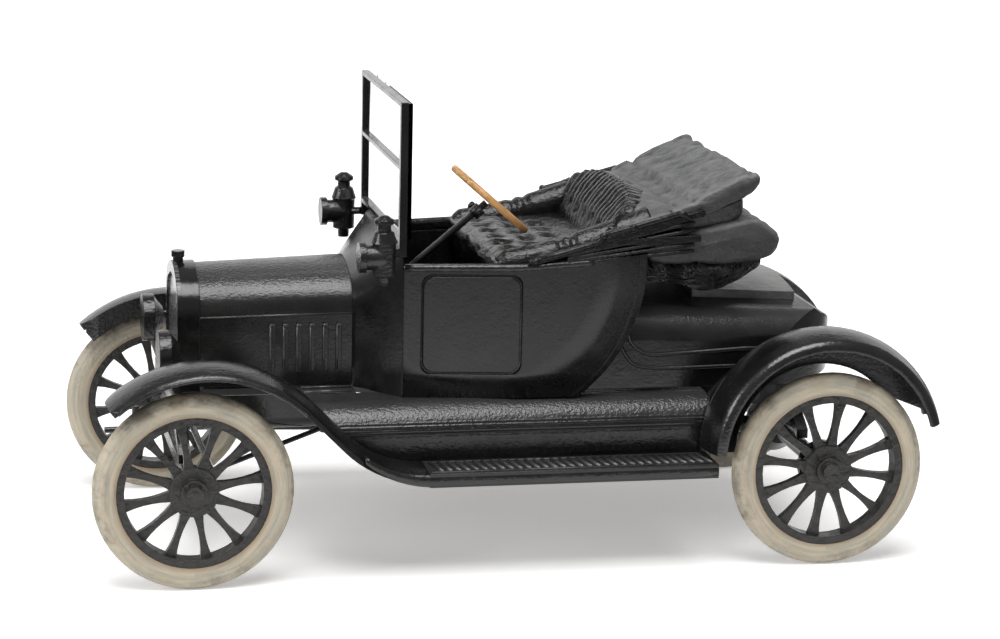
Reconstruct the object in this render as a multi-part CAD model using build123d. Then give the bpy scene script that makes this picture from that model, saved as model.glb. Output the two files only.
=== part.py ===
from build123d import *
import os
from math import asin, cos, degrees, radians, sin

# Vintage two-seat runabout, a hand-painted display model at 1:87.
# Millimetres on the model. X runs forward, Y to the car's left, Z up.
# The floor is Z 0, and the origin lies under the middle of the overall length.

# Whole model
wheelbase = 29.16
half_track = 8.455
front_tyre_radius = 4.464
rear_tyre_radius = 4.522
tail_reach = 0.818
rear_overhang = rear_tyre_radius + tail_reach
wing_outer_reach = 1.10
wing_outer_y = half_track + wing_outer_reach
overall_length = front_tyre_radius + wheelbase + rear_overhang
front_axle_x = overall_length / 2 - front_tyre_radius
rear_axle_x = front_axle_x - wheelbase

# Wheels and tyres
front_tyre_height = 1.030
rear_tyre_height = 0.987
front_rim_radius = front_tyre_radius - front_tyre_height
rear_rim_radius = rear_tyre_radius - rear_tyre_height
tyre_width = 1.05
tyre_shoulder_width = 0.94
rim_depth = 0.36
rim_width = 0.86
spoke_count = 12
spoke_root_width = 0.56
spoke_waist_width = 0.27
spoke_tip_width = 0.62
spoke_thickness = 0.36
front_spoke_turn = 10.5
rear_spoke_turn = 20.5
hub_boss_radius = 0.15
hub_boss_circle = 0.98
hub_flange_radius = 1.10
hub_flange_width = 0.56
hub_barrel_radius = 0.62
hub_barrel_reach = 0.62
hub_cap_radius = 0.40
hub_cap_reach = 0.86
stub_radius = 0.34
stub_clearance = 0.05
stub_reach = 0.45
hub_inner_gap = 0.15

# Chassis frame
frame_half_width = 4.375
rail_width = 0.50
rail_top_z = 7.55
rail_depth = 0.90
ledge_inner_y = 3.15
ledge_height = 0.20
frame_front_overhang = 0.50
frame_rear_overhang = 1.60
cross_member_length = 0.90
cross_member_depth = 0.60

# Axles and springs
front_beam_height = 0.62
front_beam_thickness = 0.36
front_beam_drop = 0.10
knuckle_radius = 0.36
knuckle_collar_radius = 0.50
knuckle_height = 1.10
knuckle_offset = 0.95
axle_tube_radius = 0.42
axle_tube_end = 7.00
axle_drum_radius = 1.15
axle_drum_width = 0.42
differential_radius = 1.30
differential_half_width = 1.25
spring_half_span = 4.70
spring_thickness = 0.42
spring_width = 0.55
spring_seat_gap = 0.02
radius_rod_radius = 0.12
radius_rod_y = 4.90
radius_rod_length = 7.02
radius_rod_ball_z = 4.98
radius_rod_ball_radius = 0.26
tie_rod_offset = 1.00
tie_rod_radius = 0.15
tie_rod_y = 6.90
torque_tube_radius = 0.40
torque_tube_gap = 0.03
drive_joint_z = 6.00

# Engine, radiator and bonnet
radiator_front_offset = 0.12
radiator_depth = 1.03
radiator_half_width = 2.72
radiator_top_z = 13.12
radiator_frame = 0.34
core_recess = 0.12
cap_setback = 0.30
cap_neck_radius = 0.24
cap_neck_height = 0.24
cap_radius = 0.31
cap_height = 0.26
cap_sink = 0.02
crank_shaft_z = 6.10
crank_shaft_length = 0.80
crank_handle_z = 5.17
crank_reach = 1.80
crank_handle_length = 1.45
crank_radius = 0.15
crank_arm_radius = 0.17
bonnet_length = 6.95
bonnet_front_half_width = 2.66
bonnet_rear_half_width = 3.10
bonnet_front_top_z = 13.00
bonnet_rear_top_z = 13.25
bonnet_bottom_z = 7.75
bonnet_wall = 0.28
shoulder_width_share = 0.56
shoulder_drop = 0.34
hinge_drop = 2.05
louvre_count = 6
louvre_pitch = 0.61
louvre_width = 0.24
louvre_proud = 0.10
louvre_bottom_z = 8.45
louvre_height = 2.20
louvre_rear_gap = 0.62
engine_half_width = 1.45
engine_top_z = 11.20
sump_bottom_z = 5.30
sump_half_width = 1.70
sump_rounding = 0.80
engine_gap = 0.30

# Cowl, body and doors
cowl_length = 1.95
cowl_top_z = 14.85
cowl_narrowing = 0.75
cowl_drop = 1.45
cowl_shoulder = 1.00
cowl_crown = 0.22
panel_gap = 0.02
body_bottom_z = 7.70
body_wall = 0.36
rail_z = 13.70
rail_rise = 0.60
door_rail_rise = 0.08
body_mid_half_width = 6.25
quarter_widening = 0.13
cowl_rear_half_width = body_mid_half_width - cowl_narrowing
body_rear_half_width = body_mid_half_width + quarter_widening
quarter_length = 5.85
quarter_bulge_length = 4.93
quarter_bulge_z = 10.20
quarter_foot_length = 2.75
door_front_gap = 0.90
door_length = 4.32
door_bottom_z = 8.90
door_top_gap = 0.40
door_groove = 0.12
door_corner_radius = 0.50
floor_top_z = 8.35

# Seat
foot_room = 4.15
cushion_depth = 4.30
cushion_top_z = 14.30
cushion_thickness = 1.70
seat_side_gap = 0.25
seat_back_top_z = 16.95
seat_back_side_z = 15.45
seat_back_lean = 2.70
seat_back_thickness = 0.80
seat_back_rounding = 0.20
cushion_rounding = 0.35
riser_gap = 0.30

# Rear deck
deck_overhang = 2.25
deck_tuck = 0.50
deck_side_gap = 0.65
deck_round = 3.60
deck_bottom_z = 7.85
deck_top_z = 12.30
deck_shoulder_z = 11.80
deck_side_z = 10.30
deck_shoulder = 1.35
deck_fall = 0.05
deck_tail_length = 4.10
deck_tail_z = 9.30
deck_half_width = body_mid_half_width - deck_side_gap
lid_front_offset = 5.30
lid_back_offset = 0.30
lid_side_gap = 2.15
lid_thickness = 0.40

# Wings, running boards and aprons
wing_inner_reach = 1.235
wing_inner_y = half_track - wing_inner_reach
wing_wall = 0.25
wing_crown = 0.06
wing_crease_inset = 0.32
wing_crease_drop = 0.18
skirt_round = 0.16
front_wing_skirt = 0.45
rear_wing_skirt = 0.66
front_wing_valance = 0.90
front_wing_valance_angle = 20.0
wing_flange = 0.35
front_wing_radius = 6.60
front_wing_clearance = 1.182
front_wing_top_z = 2 * front_tyre_radius + front_wing_clearance
front_wing_centre_offset = 0.63
front_wing_tip_round = 0.90
front_wing_tip_angle = 42.0
front_wing_fall_angle = 45.0
front_wing_foot_radius = 5.00
board_top_z = 5.15
board_thickness = 0.30
board_lip = 0.62
board_tuck = 0.32
rear_wing_reach = 1.098
rear_wing_radius = rear_tyre_radius + rear_wing_reach
rear_wing_clearance = 1.916
rear_wing_top_z = 2 * rear_tyre_radius + rear_wing_clearance
rear_wing_centre_offset = 0.16
rear_wing_front_angle = 88.0
gusset_top_z = 8.00
gusset_join_angle = 48.0
rear_web_depth = 1.72
rear_web_radius = rear_wing_radius - rear_web_depth
rear_web_cut_slope = 0.40
rear_web_cut_length = 2.80
apron_shoulder_gap = 1.32
apron_shoulder_y = wing_inner_y - apron_shoulder_gap
apron_shoulder_z = 6.20
apron_wall = 0.28
apron_roll_inset = 0.30
apron_roll_drop = 0.55
apron_gap = 0.05
apron_rear_reach = 0.27

# Windscreen
windscreen_top_z = 21.20
windscreen_base_z = 14.20
windscreen_half_width = cowl_rear_half_width
windscreen_lead = 0.10
post_width = 0.36
frame_thickness = 0.34
top_rail_height = 0.22
middle_rail_height = 0.18
middle_rail_share = 0.53
foot_rail_height = 0.20
glass_thickness = 0.20
glass_inset = 0.06
glass_base_z = 15.00

# Lamps
headlamp_y = 4.00
headlamp_z = 9.62
headlamp_radius = 1.12
headlamp_forward = 1.02
headlamp_depth = 0.55
headlamp_back_depth = 0.42
headlamp_back_radius = 0.52
headlamp_post_drop = 0.90
headlamp_post_radius = 0.24
headlamp_foot_forward = 0.20
side_lamp_outset = 0.35
side_lamp_y = windscreen_half_width + side_lamp_outset
side_lamp_forward = 1.00
side_lamp_z = 14.28
side_lamp_radius = 0.54
lens_barrel_radius = 0.56
lens_barrel_reach = 1.15
lens_rim_radius = 0.68
lens_rim_depth = 0.30
lamp_bracket_radius = 0.18

# Steering
column_y = 2.60
steering_ring_radius = 2.12
steering_ring_thickness = 0.17
steering_hub_radius = 0.36
steering_hub_height = 0.20
steering_bar_width = 0.20
steering_back = 4.30
steering_centre_z = 16.11
column_lean = 40.0
ring_lean = 49.0
column_radius = 0.16

# Folded top
top_gap = 0.03
top_overhang = 0.30
top_side_gap = 0.60
top_half_width = body_mid_half_width - top_side_gap
top_iron_outset = 0.07
top_iron_y = body_mid_half_width + top_iron_outset
top_iron_width = 0.30
fold_rounding = 0.20
iron_height = 0.30
iron_foot_gap = 0.45
iron_foot_rise = 0.27
iron_knee_length = 3.20
iron_knee_rise = 0.85
iron_length = 7.90
iron_rise = 2.15
iron_stay_rise = 1.00


def block(x, y, z):
    """Box from (low, high) pairs along each axis."""
    centre = Pos((x[0] + x[1]) / 2, (y[0] + y[1]) / 2, (z[0] + z[1]) / 2)
    return centre * Box(x[1] - x[0], y[1] - y[0], z[1] - z[0])


def rod(start, end, radius):
    """Round bar between two points."""
    line = Vector(*end) - Vector(*start)
    return Plane(origin=start, z_dir=line) * Pos(0, 0, line.length / 2) * Cylinder(radius, line.length)


def side_plate(points, y, radius=0):
    """Outline of (x, z) points, its corners rounded, extruded across the car."""
    face = make_face(Polyline(*[(px, y[0], pz) for px, pz in points], close=True))
    if radius:
        face = fillet(face.vertices(), radius)
    return extrude(face, amount=y[1] - y[0], dir=(0, 1, 0))


def plan_plate(points, z, radius=0):
    """Outline of (x, y) points, its corners rounded, extruded upwards."""
    face = make_face(Polyline(*[(px, py, z[0]) for px, py in points], close=True))
    if radius:
        face = fillet(face.vertices(), radius)
    return extrude(face, amount=z[1] - z[0], dir=(0, 0, 1))


def to_right(shape):
    """The right-hand twin of a left-hand piece."""
    return mirror(shape, about=Plane.XZ)


def round_y(points, x, y, z):
    """Turned piece about an axis along Y, from (radius, offset) points."""
    face = make_face(Polyline(*[(radius, offset, 0) for radius, offset in points], close=True))
    return Pos(x, y, z) * revolve(face, axis=Axis.Y)


# Wheels
def spoke(rim_inner):
    """One upright spoke, waisted between the hub and the rim."""
    root = hub_flange_radius * 0.8
    tip = rim_inner + rim_depth / 2
    waist = root + (tip - root) * 0.5
    half_root = spoke_root_width / 2
    half_waist = spoke_waist_width / 2
    half_tip = spoke_tip_width / 2
    edges = [
        ThreePointArc((-half_root, 0, root), (-half_waist, 0, waist), (-half_tip, 0, tip)),
        Line((-half_tip, 0, tip), (half_tip, 0, tip)),
        ThreePointArc((half_tip, 0, tip), (half_waist, 0, waist), (half_root, 0, root)),
        Line((half_root, 0, root), (-half_root, 0, root)),
    ]
    return Pos(0, -spoke_thickness / 2, 0) * extrude(make_face(edges), amount=spoke_thickness, dir=(0, 1, 0))


def spoked_wheel(rim_radius):
    """Rim, spokes and hub in one casting, outer face towards +Y, centred on the track line."""
    inner = rim_radius - rim_depth
    half = rim_width / 2
    rim = round_y([(inner, -half), (rim_radius, -half), (rim_radius, half), (inner, half)], 0, 0, 0)
    flange = hub_flange_width / 2
    hub_points = [
        (0, -flange),
        (hub_flange_radius, -flange),
        (hub_flange_radius, flange),
        (hub_barrel_radius, flange),
        (hub_barrel_radius, hub_barrel_reach),
        (hub_cap_radius, hub_barrel_reach),
        (hub_cap_radius, hub_cap_reach),
        (0, hub_cap_reach),
    ]
    wheel = rim + round_y(hub_points, 0, 0, 0)
    wheel += [Rot(0, 360 * turn / spoke_count, 0) * spoke(inner) for turn in range(spoke_count)]
    boss = Pos(0, 0, hub_boss_circle) * Rot(90, 0, 0) * Cylinder(hub_boss_radius, hub_flange_width)
    wheel += [Rot(0, 360 * (turn + 0.5) / spoke_count, 0) * boss for turn in range(spoke_count)]
    bore = stub_radius + stub_clearance
    floor = stub_reach + stub_clearance
    return wheel - round_y([(0, -flange - 1), (bore, -flange - 1), (bore, floor), (0, floor)], 0, 0, 0)


def tyre(tyre_radius, rim_radius):
    """Solid tyre with straight sides and a half-round tread."""
    half = tyre_width / 2
    shoulder = tyre_radius - half
    seat = tyre_shoulder_width / 2
    outline = [
        Line((rim_radius, -seat), (shoulder, -half)),
        ThreePointArc((shoulder, -half), (tyre_radius, 0), (shoulder, half)),
        Line((shoulder, half), (rim_radius, seat)),
        Line((rim_radius, seat), (rim_radius, -seat)),
    ]
    return revolve(make_face(outline), axis=Axis.Y)


# Chassis
def frame_rail():
    """Left rail of the frame with the bonnet ledge on top."""
    x = (rear_axle_x - frame_rear_overhang, front_axle_x + frame_front_overhang)
    y = (frame_half_width - rail_width, frame_half_width)
    ledge_x = (bonnet_rear_x, bonnet_front_x)
    ledge = block(ledge_x, (ledge_inner_y, frame_half_width), (rail_top_z, rail_top_z + ledge_height))
    return block(x, y, (rail_top_z - rail_depth, rail_top_z)) + ledge


def cross_member(x):
    """Cross bar between the rails, over one spring."""
    y = frame_half_width - rail_width
    z = (rail_top_z - cross_member_depth, rail_top_z)
    return block((x - cross_member_length / 2, x + cross_member_length / 2), (-y, y), z)


def stub(radius, axle_x, start_y):
    """Left wheel pin on its axle line."""
    return rod((axle_x, start_y, radius), (axle_x, half_track + stub_reach, radius), stub_radius)


def front_axle():
    """Forged front beam, forked round the knuckles at each end."""
    x = (front_axle_x - front_beam_thickness / 2, front_axle_x + front_beam_thickness / 2)
    end = half_track - hub_flange_width / 2 - knuckle_offset - knuckle_radius
    middle = front_tyre_radius - front_beam_drop
    return block(x, (-end, end), (middle - front_beam_height / 2, middle + front_beam_height / 2))


def front_knuckle():
    """Left knuckle: upright king pin barrel and the wheel pin."""
    y = half_track - hub_flange_width / 2 - knuckle_offset
    foot = front_tyre_radius - knuckle_height / 2
    barrel = rod((front_axle_x, y, foot), (front_axle_x, y, foot + knuckle_height), knuckle_radius)
    collar_end = half_track - hub_flange_width / 2 - hub_inner_gap
    collar = rod((front_axle_x, y, front_tyre_radius), (front_axle_x, collar_end, front_tyre_radius), knuckle_collar_radius)
    arm_z = foot + knuckle_height - tie_rod_radius
    arm = rod((front_axle_x, y, arm_z), (front_axle_x - tie_rod_offset, tie_rod_y + tie_rod_radius, arm_z), tie_rod_radius)
    return barrel + collar + arm + stub(front_tyre_radius, front_axle_x, y)


def tie_rod():
    """Cross rod behind the front axle, between the two knuckle arms."""
    x = front_axle_x - tie_rod_offset
    z = front_tyre_radius + knuckle_height / 2 - tie_rod_radius
    end = tie_rod_y - tie_rod_radius
    return rod((x, -end, z), (x, end, z), tie_rod_radius)


def radius_rods():
    """Pair of rods from the ends of the front beam back to one ball under the sump."""
    foot_z = front_tyre_radius - front_beam_drop - front_beam_height / 2 - radius_rod_radius
    ball = (front_axle_x - radius_rod_length, 0, radius_rod_ball_z)
    arm = rod((front_axle_x, radius_rod_y, foot_z), ball, radius_rod_radius)
    return arm + to_right(arm) + Pos(*ball) * Sphere(radius_rod_ball_radius)


def rear_axle():
    """Rear axle tubes, differential bowl, brake drums and wheel pins."""
    axle = rod(
        (rear_axle_x, -axle_tube_end, rear_tyre_radius), (rear_axle_x, axle_tube_end, rear_tyre_radius), axle_tube_radius
    )
    edge = differential_radius * 0.55
    flat = differential_half_width * 0.25
    bowl = [
        (0, -differential_half_width),
        (edge, -differential_half_width),
        (differential_radius, -flat),
        (differential_radius, flat),
        (edge, differential_half_width),
        (0, differential_half_width),
    ]
    axle += round_y(bowl, rear_axle_x, 0, rear_tyre_radius)
    outer = half_track - hub_flange_width / 2 - hub_inner_gap
    drum = rod(
        (rear_axle_x, outer - axle_drum_width, rear_tyre_radius),
        (rear_axle_x, outer, rear_tyre_radius),
        axle_drum_radius,
    )
    axle += [drum, to_right(drum)]
    pin = stub(rear_tyre_radius, rear_axle_x, axle_tube_end - 1)
    return axle + pin + to_right(pin)


def spring(x, axle_top_z):
    """Transverse leaf spring, arched from the two ends of an axle up to the cross member."""
    half = spring_width / 2
    foot_z = axle_top_z + spring_seat_gap + spring_thickness
    crown_z = rail_top_z - cross_member_depth
    upper = ThreePointArc((x - half, -spring_half_span, foot_z), (x - half, 0, crown_z), (x - half, spring_half_span, foot_z))
    low = crown_z - spring_thickness * 1.5
    foot = foot_z - spring_thickness
    lower = ThreePointArc((x - half, -spring_half_span, foot), (x - half, 0, low), (x - half, spring_half_span, foot))
    ends = [Line(upper @ 0, lower @ 0), Line(upper @ 1, lower @ 1)]
    return extrude(make_face([upper, lower] + ends), amount=spring_width, dir=(1, 0, 0))


def torque_tube():
    """Drive tube from the gearbox ball back to the differential."""
    start = (engine_back_x, 0, drive_joint_z)
    end = (rear_axle_x + differential_radius + torque_tube_gap, 0, rear_tyre_radius)
    return rod(start, end, torque_tube_radius)


# Engine and bonnet
radiator_front_x = front_axle_x + radiator_front_offset
bonnet_front_x = radiator_front_x - radiator_depth
bonnet_rear_x = bonnet_front_x - bonnet_length
windscreen_x = bonnet_rear_x - cowl_length
door_front_x = windscreen_x - door_front_gap
door_back_x = door_front_x - door_length
engine_front_x = bonnet_front_x - engine_gap
engine_back_x = bonnet_rear_x + engine_gap
seat_front_x = windscreen_x - foot_room
quarter_top_x = door_back_x - quarter_length
quarter_foot_x = door_back_x - quarter_foot_length
deck_back_x = rear_axle_x - deck_overhang
deck_front_x = quarter_foot_x + deck_tuck
lid_front_x = rear_axle_x + lid_front_offset
lid_back_x = rear_axle_x + lid_back_offset
top_front_x = quarter_top_x - top_gap
steering_centre_x = windscreen_x - steering_back
front_crest_x = front_axle_x - front_wing_centre_offset
front_wing_turn = radians(front_wing_fall_angle)
front_wing_radii = front_wing_radius + front_wing_foot_radius
front_wing_slope_drop = front_wing_top_z - board_top_z - front_wing_radii * (1 - cos(front_wing_turn))
front_wing_slope = front_wing_slope_drop / sin(front_wing_turn)
board_front_x = front_crest_x - front_wing_radii * sin(front_wing_turn) - front_wing_slope * cos(front_wing_turn)
rear_crest_x = rear_axle_x + rear_wing_centre_offset
rear_tail_turn = asin((rear_overhang + rear_wing_centre_offset) / (rear_wing_radius + wing_crown))
board_back_x = rear_crest_x + rear_wing_radius - board_tuck


def arched_section(x, half_width, bottom_z, side_z, top_z, shoulder_y, shoulder_z):
    """Closed cross-section: flat bottom, straight sides, rounded shoulders and a crowned top."""
    middle_y = shoulder_y + (half_width - shoulder_y) * 0.72
    middle_z = side_z + (shoulder_z - side_z) * 0.66
    half = [
        Line((x, 0, bottom_z), (x, half_width, bottom_z)),
        Line((x, half_width, bottom_z), (x, half_width, side_z)),
        ThreePointArc((x, half_width, side_z), (x, middle_y, middle_z), (x, shoulder_y, shoulder_z)),
    ]
    crown = ThreePointArc((x, shoulder_y, shoulder_z), (x, 0, top_z), (x, -shoulder_y, shoulder_z))
    return make_face(half + [crown] + [mirror(edge, about=Plane.XZ) for edge in half])


def bonnet_section(x, inset):
    """Cross-section of the bonnet at x, or of its inside at a wall's inset."""
    share = (bonnet_front_x - x) / bonnet_length
    half_width = bonnet_front_half_width + share * (bonnet_rear_half_width - bonnet_front_half_width) - inset
    top = bonnet_front_top_z + share * (bonnet_rear_top_z - bonnet_front_top_z) - inset
    shoulder_y = half_width * shoulder_width_share
    return arched_section(
        x, half_width, bonnet_bottom_z, top - hinge_drop, top, shoulder_y, top - shoulder_drop
    )


def bonnet():
    """Thin bonnet with six pressed louvres in each side."""
    shell = loft([bonnet_section(bonnet_front_x, 0), bonnet_section(bonnet_rear_x, 0)])
    hollow = loft([bonnet_section(bonnet_front_x, bonnet_wall), bonnet_section(bonnet_rear_x, bonnet_wall)])
    shell -= hollow
    shell -= block((bonnet_rear_x, bonnet_front_x), (-1, 1), (bonnet_bottom_z - 1, bonnet_bottom_z + 0.01))
    for number in range(louvre_count):
        x = bonnet_rear_x + louvre_rear_gap + number * louvre_pitch
        share = (bonnet_front_x - x) / bonnet_length
        y = bonnet_front_half_width + share * (bonnet_rear_half_width - bonnet_front_half_width)
        blade = block(
            (x - louvre_width / 2, x + louvre_width / 2),
            (y - bonnet_wall / 2, y + louvre_proud),
            (louvre_bottom_z, louvre_bottom_z + louvre_height),
        )
        shell += [blade, to_right(blade)]
    return shell


def radiator():
    """Radiator shell with its core set back in the front face."""
    top = radiator_top_z
    section = arched_section(
        bonnet_front_x, radiator_half_width, rail_top_z, top - hinge_drop, top,
        radiator_half_width * shoulder_width_share, top - shoulder_drop,
    )
    shell = extrude(section, amount=radiator_depth, dir=(1, 0, 0))
    window = arched_section(
        radiator_front_x - core_recess, radiator_half_width - radiator_frame,
        rail_top_z + radiator_frame, top - hinge_drop, top - radiator_frame * 1.6,
        (radiator_half_width - radiator_frame) * shoulder_width_share, top - shoulder_drop - radiator_frame * 1.6,
    )
    return shell - extrude(window, amount=core_recess * 2, dir=(1, 0, 0))


def radiator_cap():
    """Filler neck and cap on top of the shell."""
    x = radiator_front_x - cap_setback
    neck_top = radiator_top_z + cap_neck_height
    neck = rod((x, 0, radiator_top_z - cap_sink), (x, 0, neck_top), cap_neck_radius)
    return neck + rod((x, 0, neck_top - cap_sink), (x, 0, neck_top + cap_height), cap_radius)


def starting_crank():
    """Hand crank under the radiator, its handle pointing forward."""
    arm_x = front_axle_x + crank_reach
    crank = rod((front_axle_x - crank_shaft_length, 0, crank_shaft_z), (arm_x, 0, crank_shaft_z), crank_radius)
    arm_top = crank_shaft_z + crank_arm_radius
    crank += rod((arm_x, 0, arm_top), (arm_x, 0, crank_handle_z - crank_arm_radius), crank_arm_radius)
    return crank + rod((arm_x, 0, crank_handle_z), (arm_x + crank_handle_length, 0, crank_handle_z), crank_radius)


def engine():
    """Engine as a plain block on its sump."""
    x = (engine_back_x, engine_front_x)
    split = rail_top_z - rail_depth
    sump = block(x, (-sump_half_width, sump_half_width), (sump_bottom_z, split))
    sump = fillet(sump.edges().filter_by(Axis.X).group_by(Axis.Z)[0], sump_rounding)
    return sump + block(x, (-engine_half_width, engine_half_width), (sump_bottom_z + sump_rounding, engine_top_z))


# Body
def cowl():
    """Scuttle that swells from the bonnet to the windscreen, hollow behind the firewall."""
    solids = []
    for inset in (0, body_wall):
        front = arched_section(
            bonnet_rear_x, bonnet_rear_half_width - inset, body_bottom_z, bonnet_rear_top_z - hinge_drop,
            bonnet_rear_top_z - inset, (bonnet_rear_half_width - inset) * shoulder_width_share,
            bonnet_rear_top_z - shoulder_drop - inset,
        )
        rear = arched_section(
            windscreen_x, cowl_rear_half_width - inset, body_bottom_z, cowl_top_z - cowl_drop - inset,
            cowl_top_z - inset, cowl_rear_half_width - cowl_shoulder - inset, cowl_top_z - cowl_crown - inset,
        )
        solids.append(loft([front, rear]))
    return solids[0] - solids[1]


def firewall():
    """Dash board that closes the front of the cowl."""
    section = arched_section(
        bonnet_rear_x, bonnet_rear_half_width - body_wall - panel_gap, body_bottom_z,
        bonnet_rear_top_z - hinge_drop, bonnet_rear_top_z - body_wall - panel_gap,
        (bonnet_rear_half_width - body_wall) * shoulder_width_share,
        bonnet_rear_top_z - shoulder_drop - body_wall - panel_gap,
    )
    return extrude(section, amount=body_wall, dir=(-1, 0, 0))


def body_outline(inset):
    """Plan of the body from the windscreen back, set in by a wall's thickness."""
    left = [
        (windscreen_x, cowl_rear_half_width - inset),
        (door_back_x, body_mid_half_width - inset),
        (quarter_top_x - 1, body_rear_half_width - inset),
    ]
    return plan_plate(left + [(px, -py) for px, py in reversed(left)], (body_bottom_z, rail_z + 2 * rail_rise))


def under_rail():
    """Space below the body's upper edge, which rises towards the back."""
    rail_end = (quarter_top_x, -10, rail_z + rail_rise)
    rail = ThreePointArc((windscreen_x, -10, rail_z), (door_back_x, -10, rail_z + door_rail_rise), rail_end)
    edges = [
        rail,
        Line(rail_end, (quarter_top_x, -10, 0)),
        Line((quarter_top_x, -10, 0), (windscreen_x, -10, 0)),
        Line((windscreen_x, -10, 0), (windscreen_x, -10, rail_z)),
    ]
    return extrude(make_face(edges), amount=20, dir=(0, 1, 0))


def body_profile(inset):
    """Side view of the body: straight from the windscreen, its back a long curve down to the sill."""
    back_x = door_back_x + inset
    top_z = rail_z + rail_rise
    back = ThreePointArc(
        (back_x - quarter_length, -10, top_z),
        (back_x - quarter_bulge_length, -10, quarter_bulge_z),
        (back_x - quarter_foot_length, -10, body_bottom_z),
    )
    edges = [
        back,
        Line(back @ 1, (windscreen_x, -10, body_bottom_z)),
        Line((windscreen_x, -10, body_bottom_z), (windscreen_x, -10, top_z)),
        Line((windscreen_x, -10, top_z), back @ 0),
    ]
    return extrude(make_face(edges), amount=20, dir=(0, 1, 0)) & under_rail()


def side_wall():
    """Left wall of the body, from the windscreen back to the rear panel."""
    wall = (body_outline(0) - body_outline(body_wall)) & body_profile(body_wall)
    return wall & block((quarter_top_x - 2, windscreen_x), (0.5, 10), (0, 30))


def door_outline(grow):
    """Door opening in the left side, larger by grow all round, through the wall."""
    points = [
        (door_back_x - grow, door_bottom_z - grow),
        (door_front_x + grow, door_bottom_z - grow),
        (door_front_x + grow, rail_z - door_top_gap + grow),
        (door_back_x - grow, rail_z - door_top_gap + grow),
    ]
    return side_plate(points, (1, 10), door_corner_radius)


def body_side():
    """Left side panel with its door opening."""
    return side_wall() - door_outline(door_groove)


def door():
    """Left door panel, cast shut in its opening."""
    return side_wall() & door_outline(0)


def rear_panel():
    """Curved back of the body, across its whole width behind the seat."""
    return (body_outline(0) & body_profile(0)) - body_profile(body_wall)


def floor_pan():
    """Floor boards from the firewall to under the seat."""
    gap = body_wall + panel_gap
    points = [
        (bonnet_rear_x - gap, bonnet_rear_half_width - gap),
        (windscreen_x, cowl_rear_half_width - gap),
        (door_back_x, body_mid_half_width - gap),
        (quarter_foot_x + gap, body_mid_half_width - gap),
    ]
    outline = points + [(px, -py) for px, py in reversed(points)]
    return plan_plate(outline, (body_bottom_z, floor_top_z))


def seat_box():
    """Riser that carries the seat cushion."""
    y = body_mid_half_width - body_wall - seat_side_gap
    x = (seat_front_x - cushion_depth, seat_front_x - riser_gap)
    return block(x, (-y, y), (floor_top_z, cushion_top_z - cushion_thickness))


def seat_cushion():
    """Seat cushion across the whole body."""
    y = body_mid_half_width - body_wall - seat_side_gap
    x = (seat_front_x - cushion_depth, seat_front_x)
    pad = block(x, (-y, y), (cushion_top_z - cushion_thickness, cushion_top_z))
    return fillet(pad.edges().filter_by(Axis.Y), cushion_rounding)


def seat_back():
    """Leaning seat back on the cushion, its top arched across the car."""
    y = body_mid_half_width - body_wall - seat_side_gap
    foot_x = seat_front_x - cushion_depth
    low = cushion_top_z - cushion_thickness
    points = [
        (foot_x, low),
        (foot_x, cushion_top_z),
        (foot_x - seat_back_lean, seat_back_top_z),
        (foot_x - seat_back_lean - seat_back_thickness, seat_back_top_z),
        (foot_x - seat_back_thickness, cushion_top_z),
        (foot_x - seat_back_thickness, low),
    ]
    x = foot_x - 10
    arch = [
        ThreePointArc((x, y, seat_back_side_z), (x, 0, seat_back_top_z), (x, -y, seat_back_side_z)),
        Line((x, -y, seat_back_side_z), (x, -y, low)),
        Line((x, -y, low), (x, y, low)),
        Line((x, y, low), (x, y, seat_back_side_z)),
    ]
    return side_plate(points, (-y, y), seat_back_rounding) & extrude(make_face(arch), amount=20, dir=(1, 0, 0))


# Rear deck
def deck_section(x, raised):
    """Cross-section of the deck at x, raised all over for the lid."""
    return arched_section(
        x, deck_half_width, deck_bottom_z, deck_side_z + raised, deck_top_z + raised,
        deck_half_width - deck_shoulder, deck_shoulder_z + raised,
    )


def deck_plan():
    """Plan of the deck: straight sides and a round tail."""
    round_x = deck_back_x + deck_round
    tail = ThreePointArc((round_x, deck_half_width, 0), (deck_back_x, 0, 0), (round_x, -deck_half_width, 0))
    edges = [
        tail,
        Line((round_x, -deck_half_width, 0), (deck_front_x, -deck_half_width, 0)),
        Line((deck_front_x, -deck_half_width, 0), (deck_front_x, deck_half_width, 0)),
        Line((deck_front_x, deck_half_width, 0), (round_x, deck_half_width, 0)),
    ]
    return extrude(make_face(edges), amount=20, dir=(0, 0, 1))


def deck_profile():
    """Side view of the deck: nearly level, then a tail that curves down in two arcs."""
    top = deck_top_z + 1
    # share of the tail's length and of its height, from the foot up
    shares = ((0.00, 0.00), (0.10, 0.31), (0.31, 0.50), (0.66, 0.80), (1.00, 1.00))
    drop = deck_top_z - deck_tail_z
    tail = [(deck_back_x + deck_tail_length * along, -10, deck_tail_z + drop * up) for along, up in shares]
    edges = [
        Line((deck_front_x, -10, deck_bottom_z), (deck_front_x, -10, top)),
        Line((deck_front_x, -10, top), (tail[4][0], -10, top)),
        Line((tail[4][0], -10, top), tail[4]),
        ThreePointArc(tail[4], tail[3], tail[2]),
        ThreePointArc(tail[2], tail[1], tail[0]),
        Line(tail[0], (deck_back_x, -10, deck_bottom_z)),
        Line((deck_back_x, -10, deck_bottom_z), (deck_front_x, -10, deck_bottom_z)),
    ]
    return extrude(make_face(edges), amount=20, dir=(0, 1, 0))


def rear_deck():
    """Luggage deck behind the seat: crowned top, rounded shoulders and a round falling tail."""
    length = deck_front_x - deck_back_x
    body = extrude(deck_section(deck_front_x, 0), amount=length, dir=(-1, 0, -deck_fall))
    return (body & deck_plan() & deck_profile()) - (body_outline(0) & body_profile(0))


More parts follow.
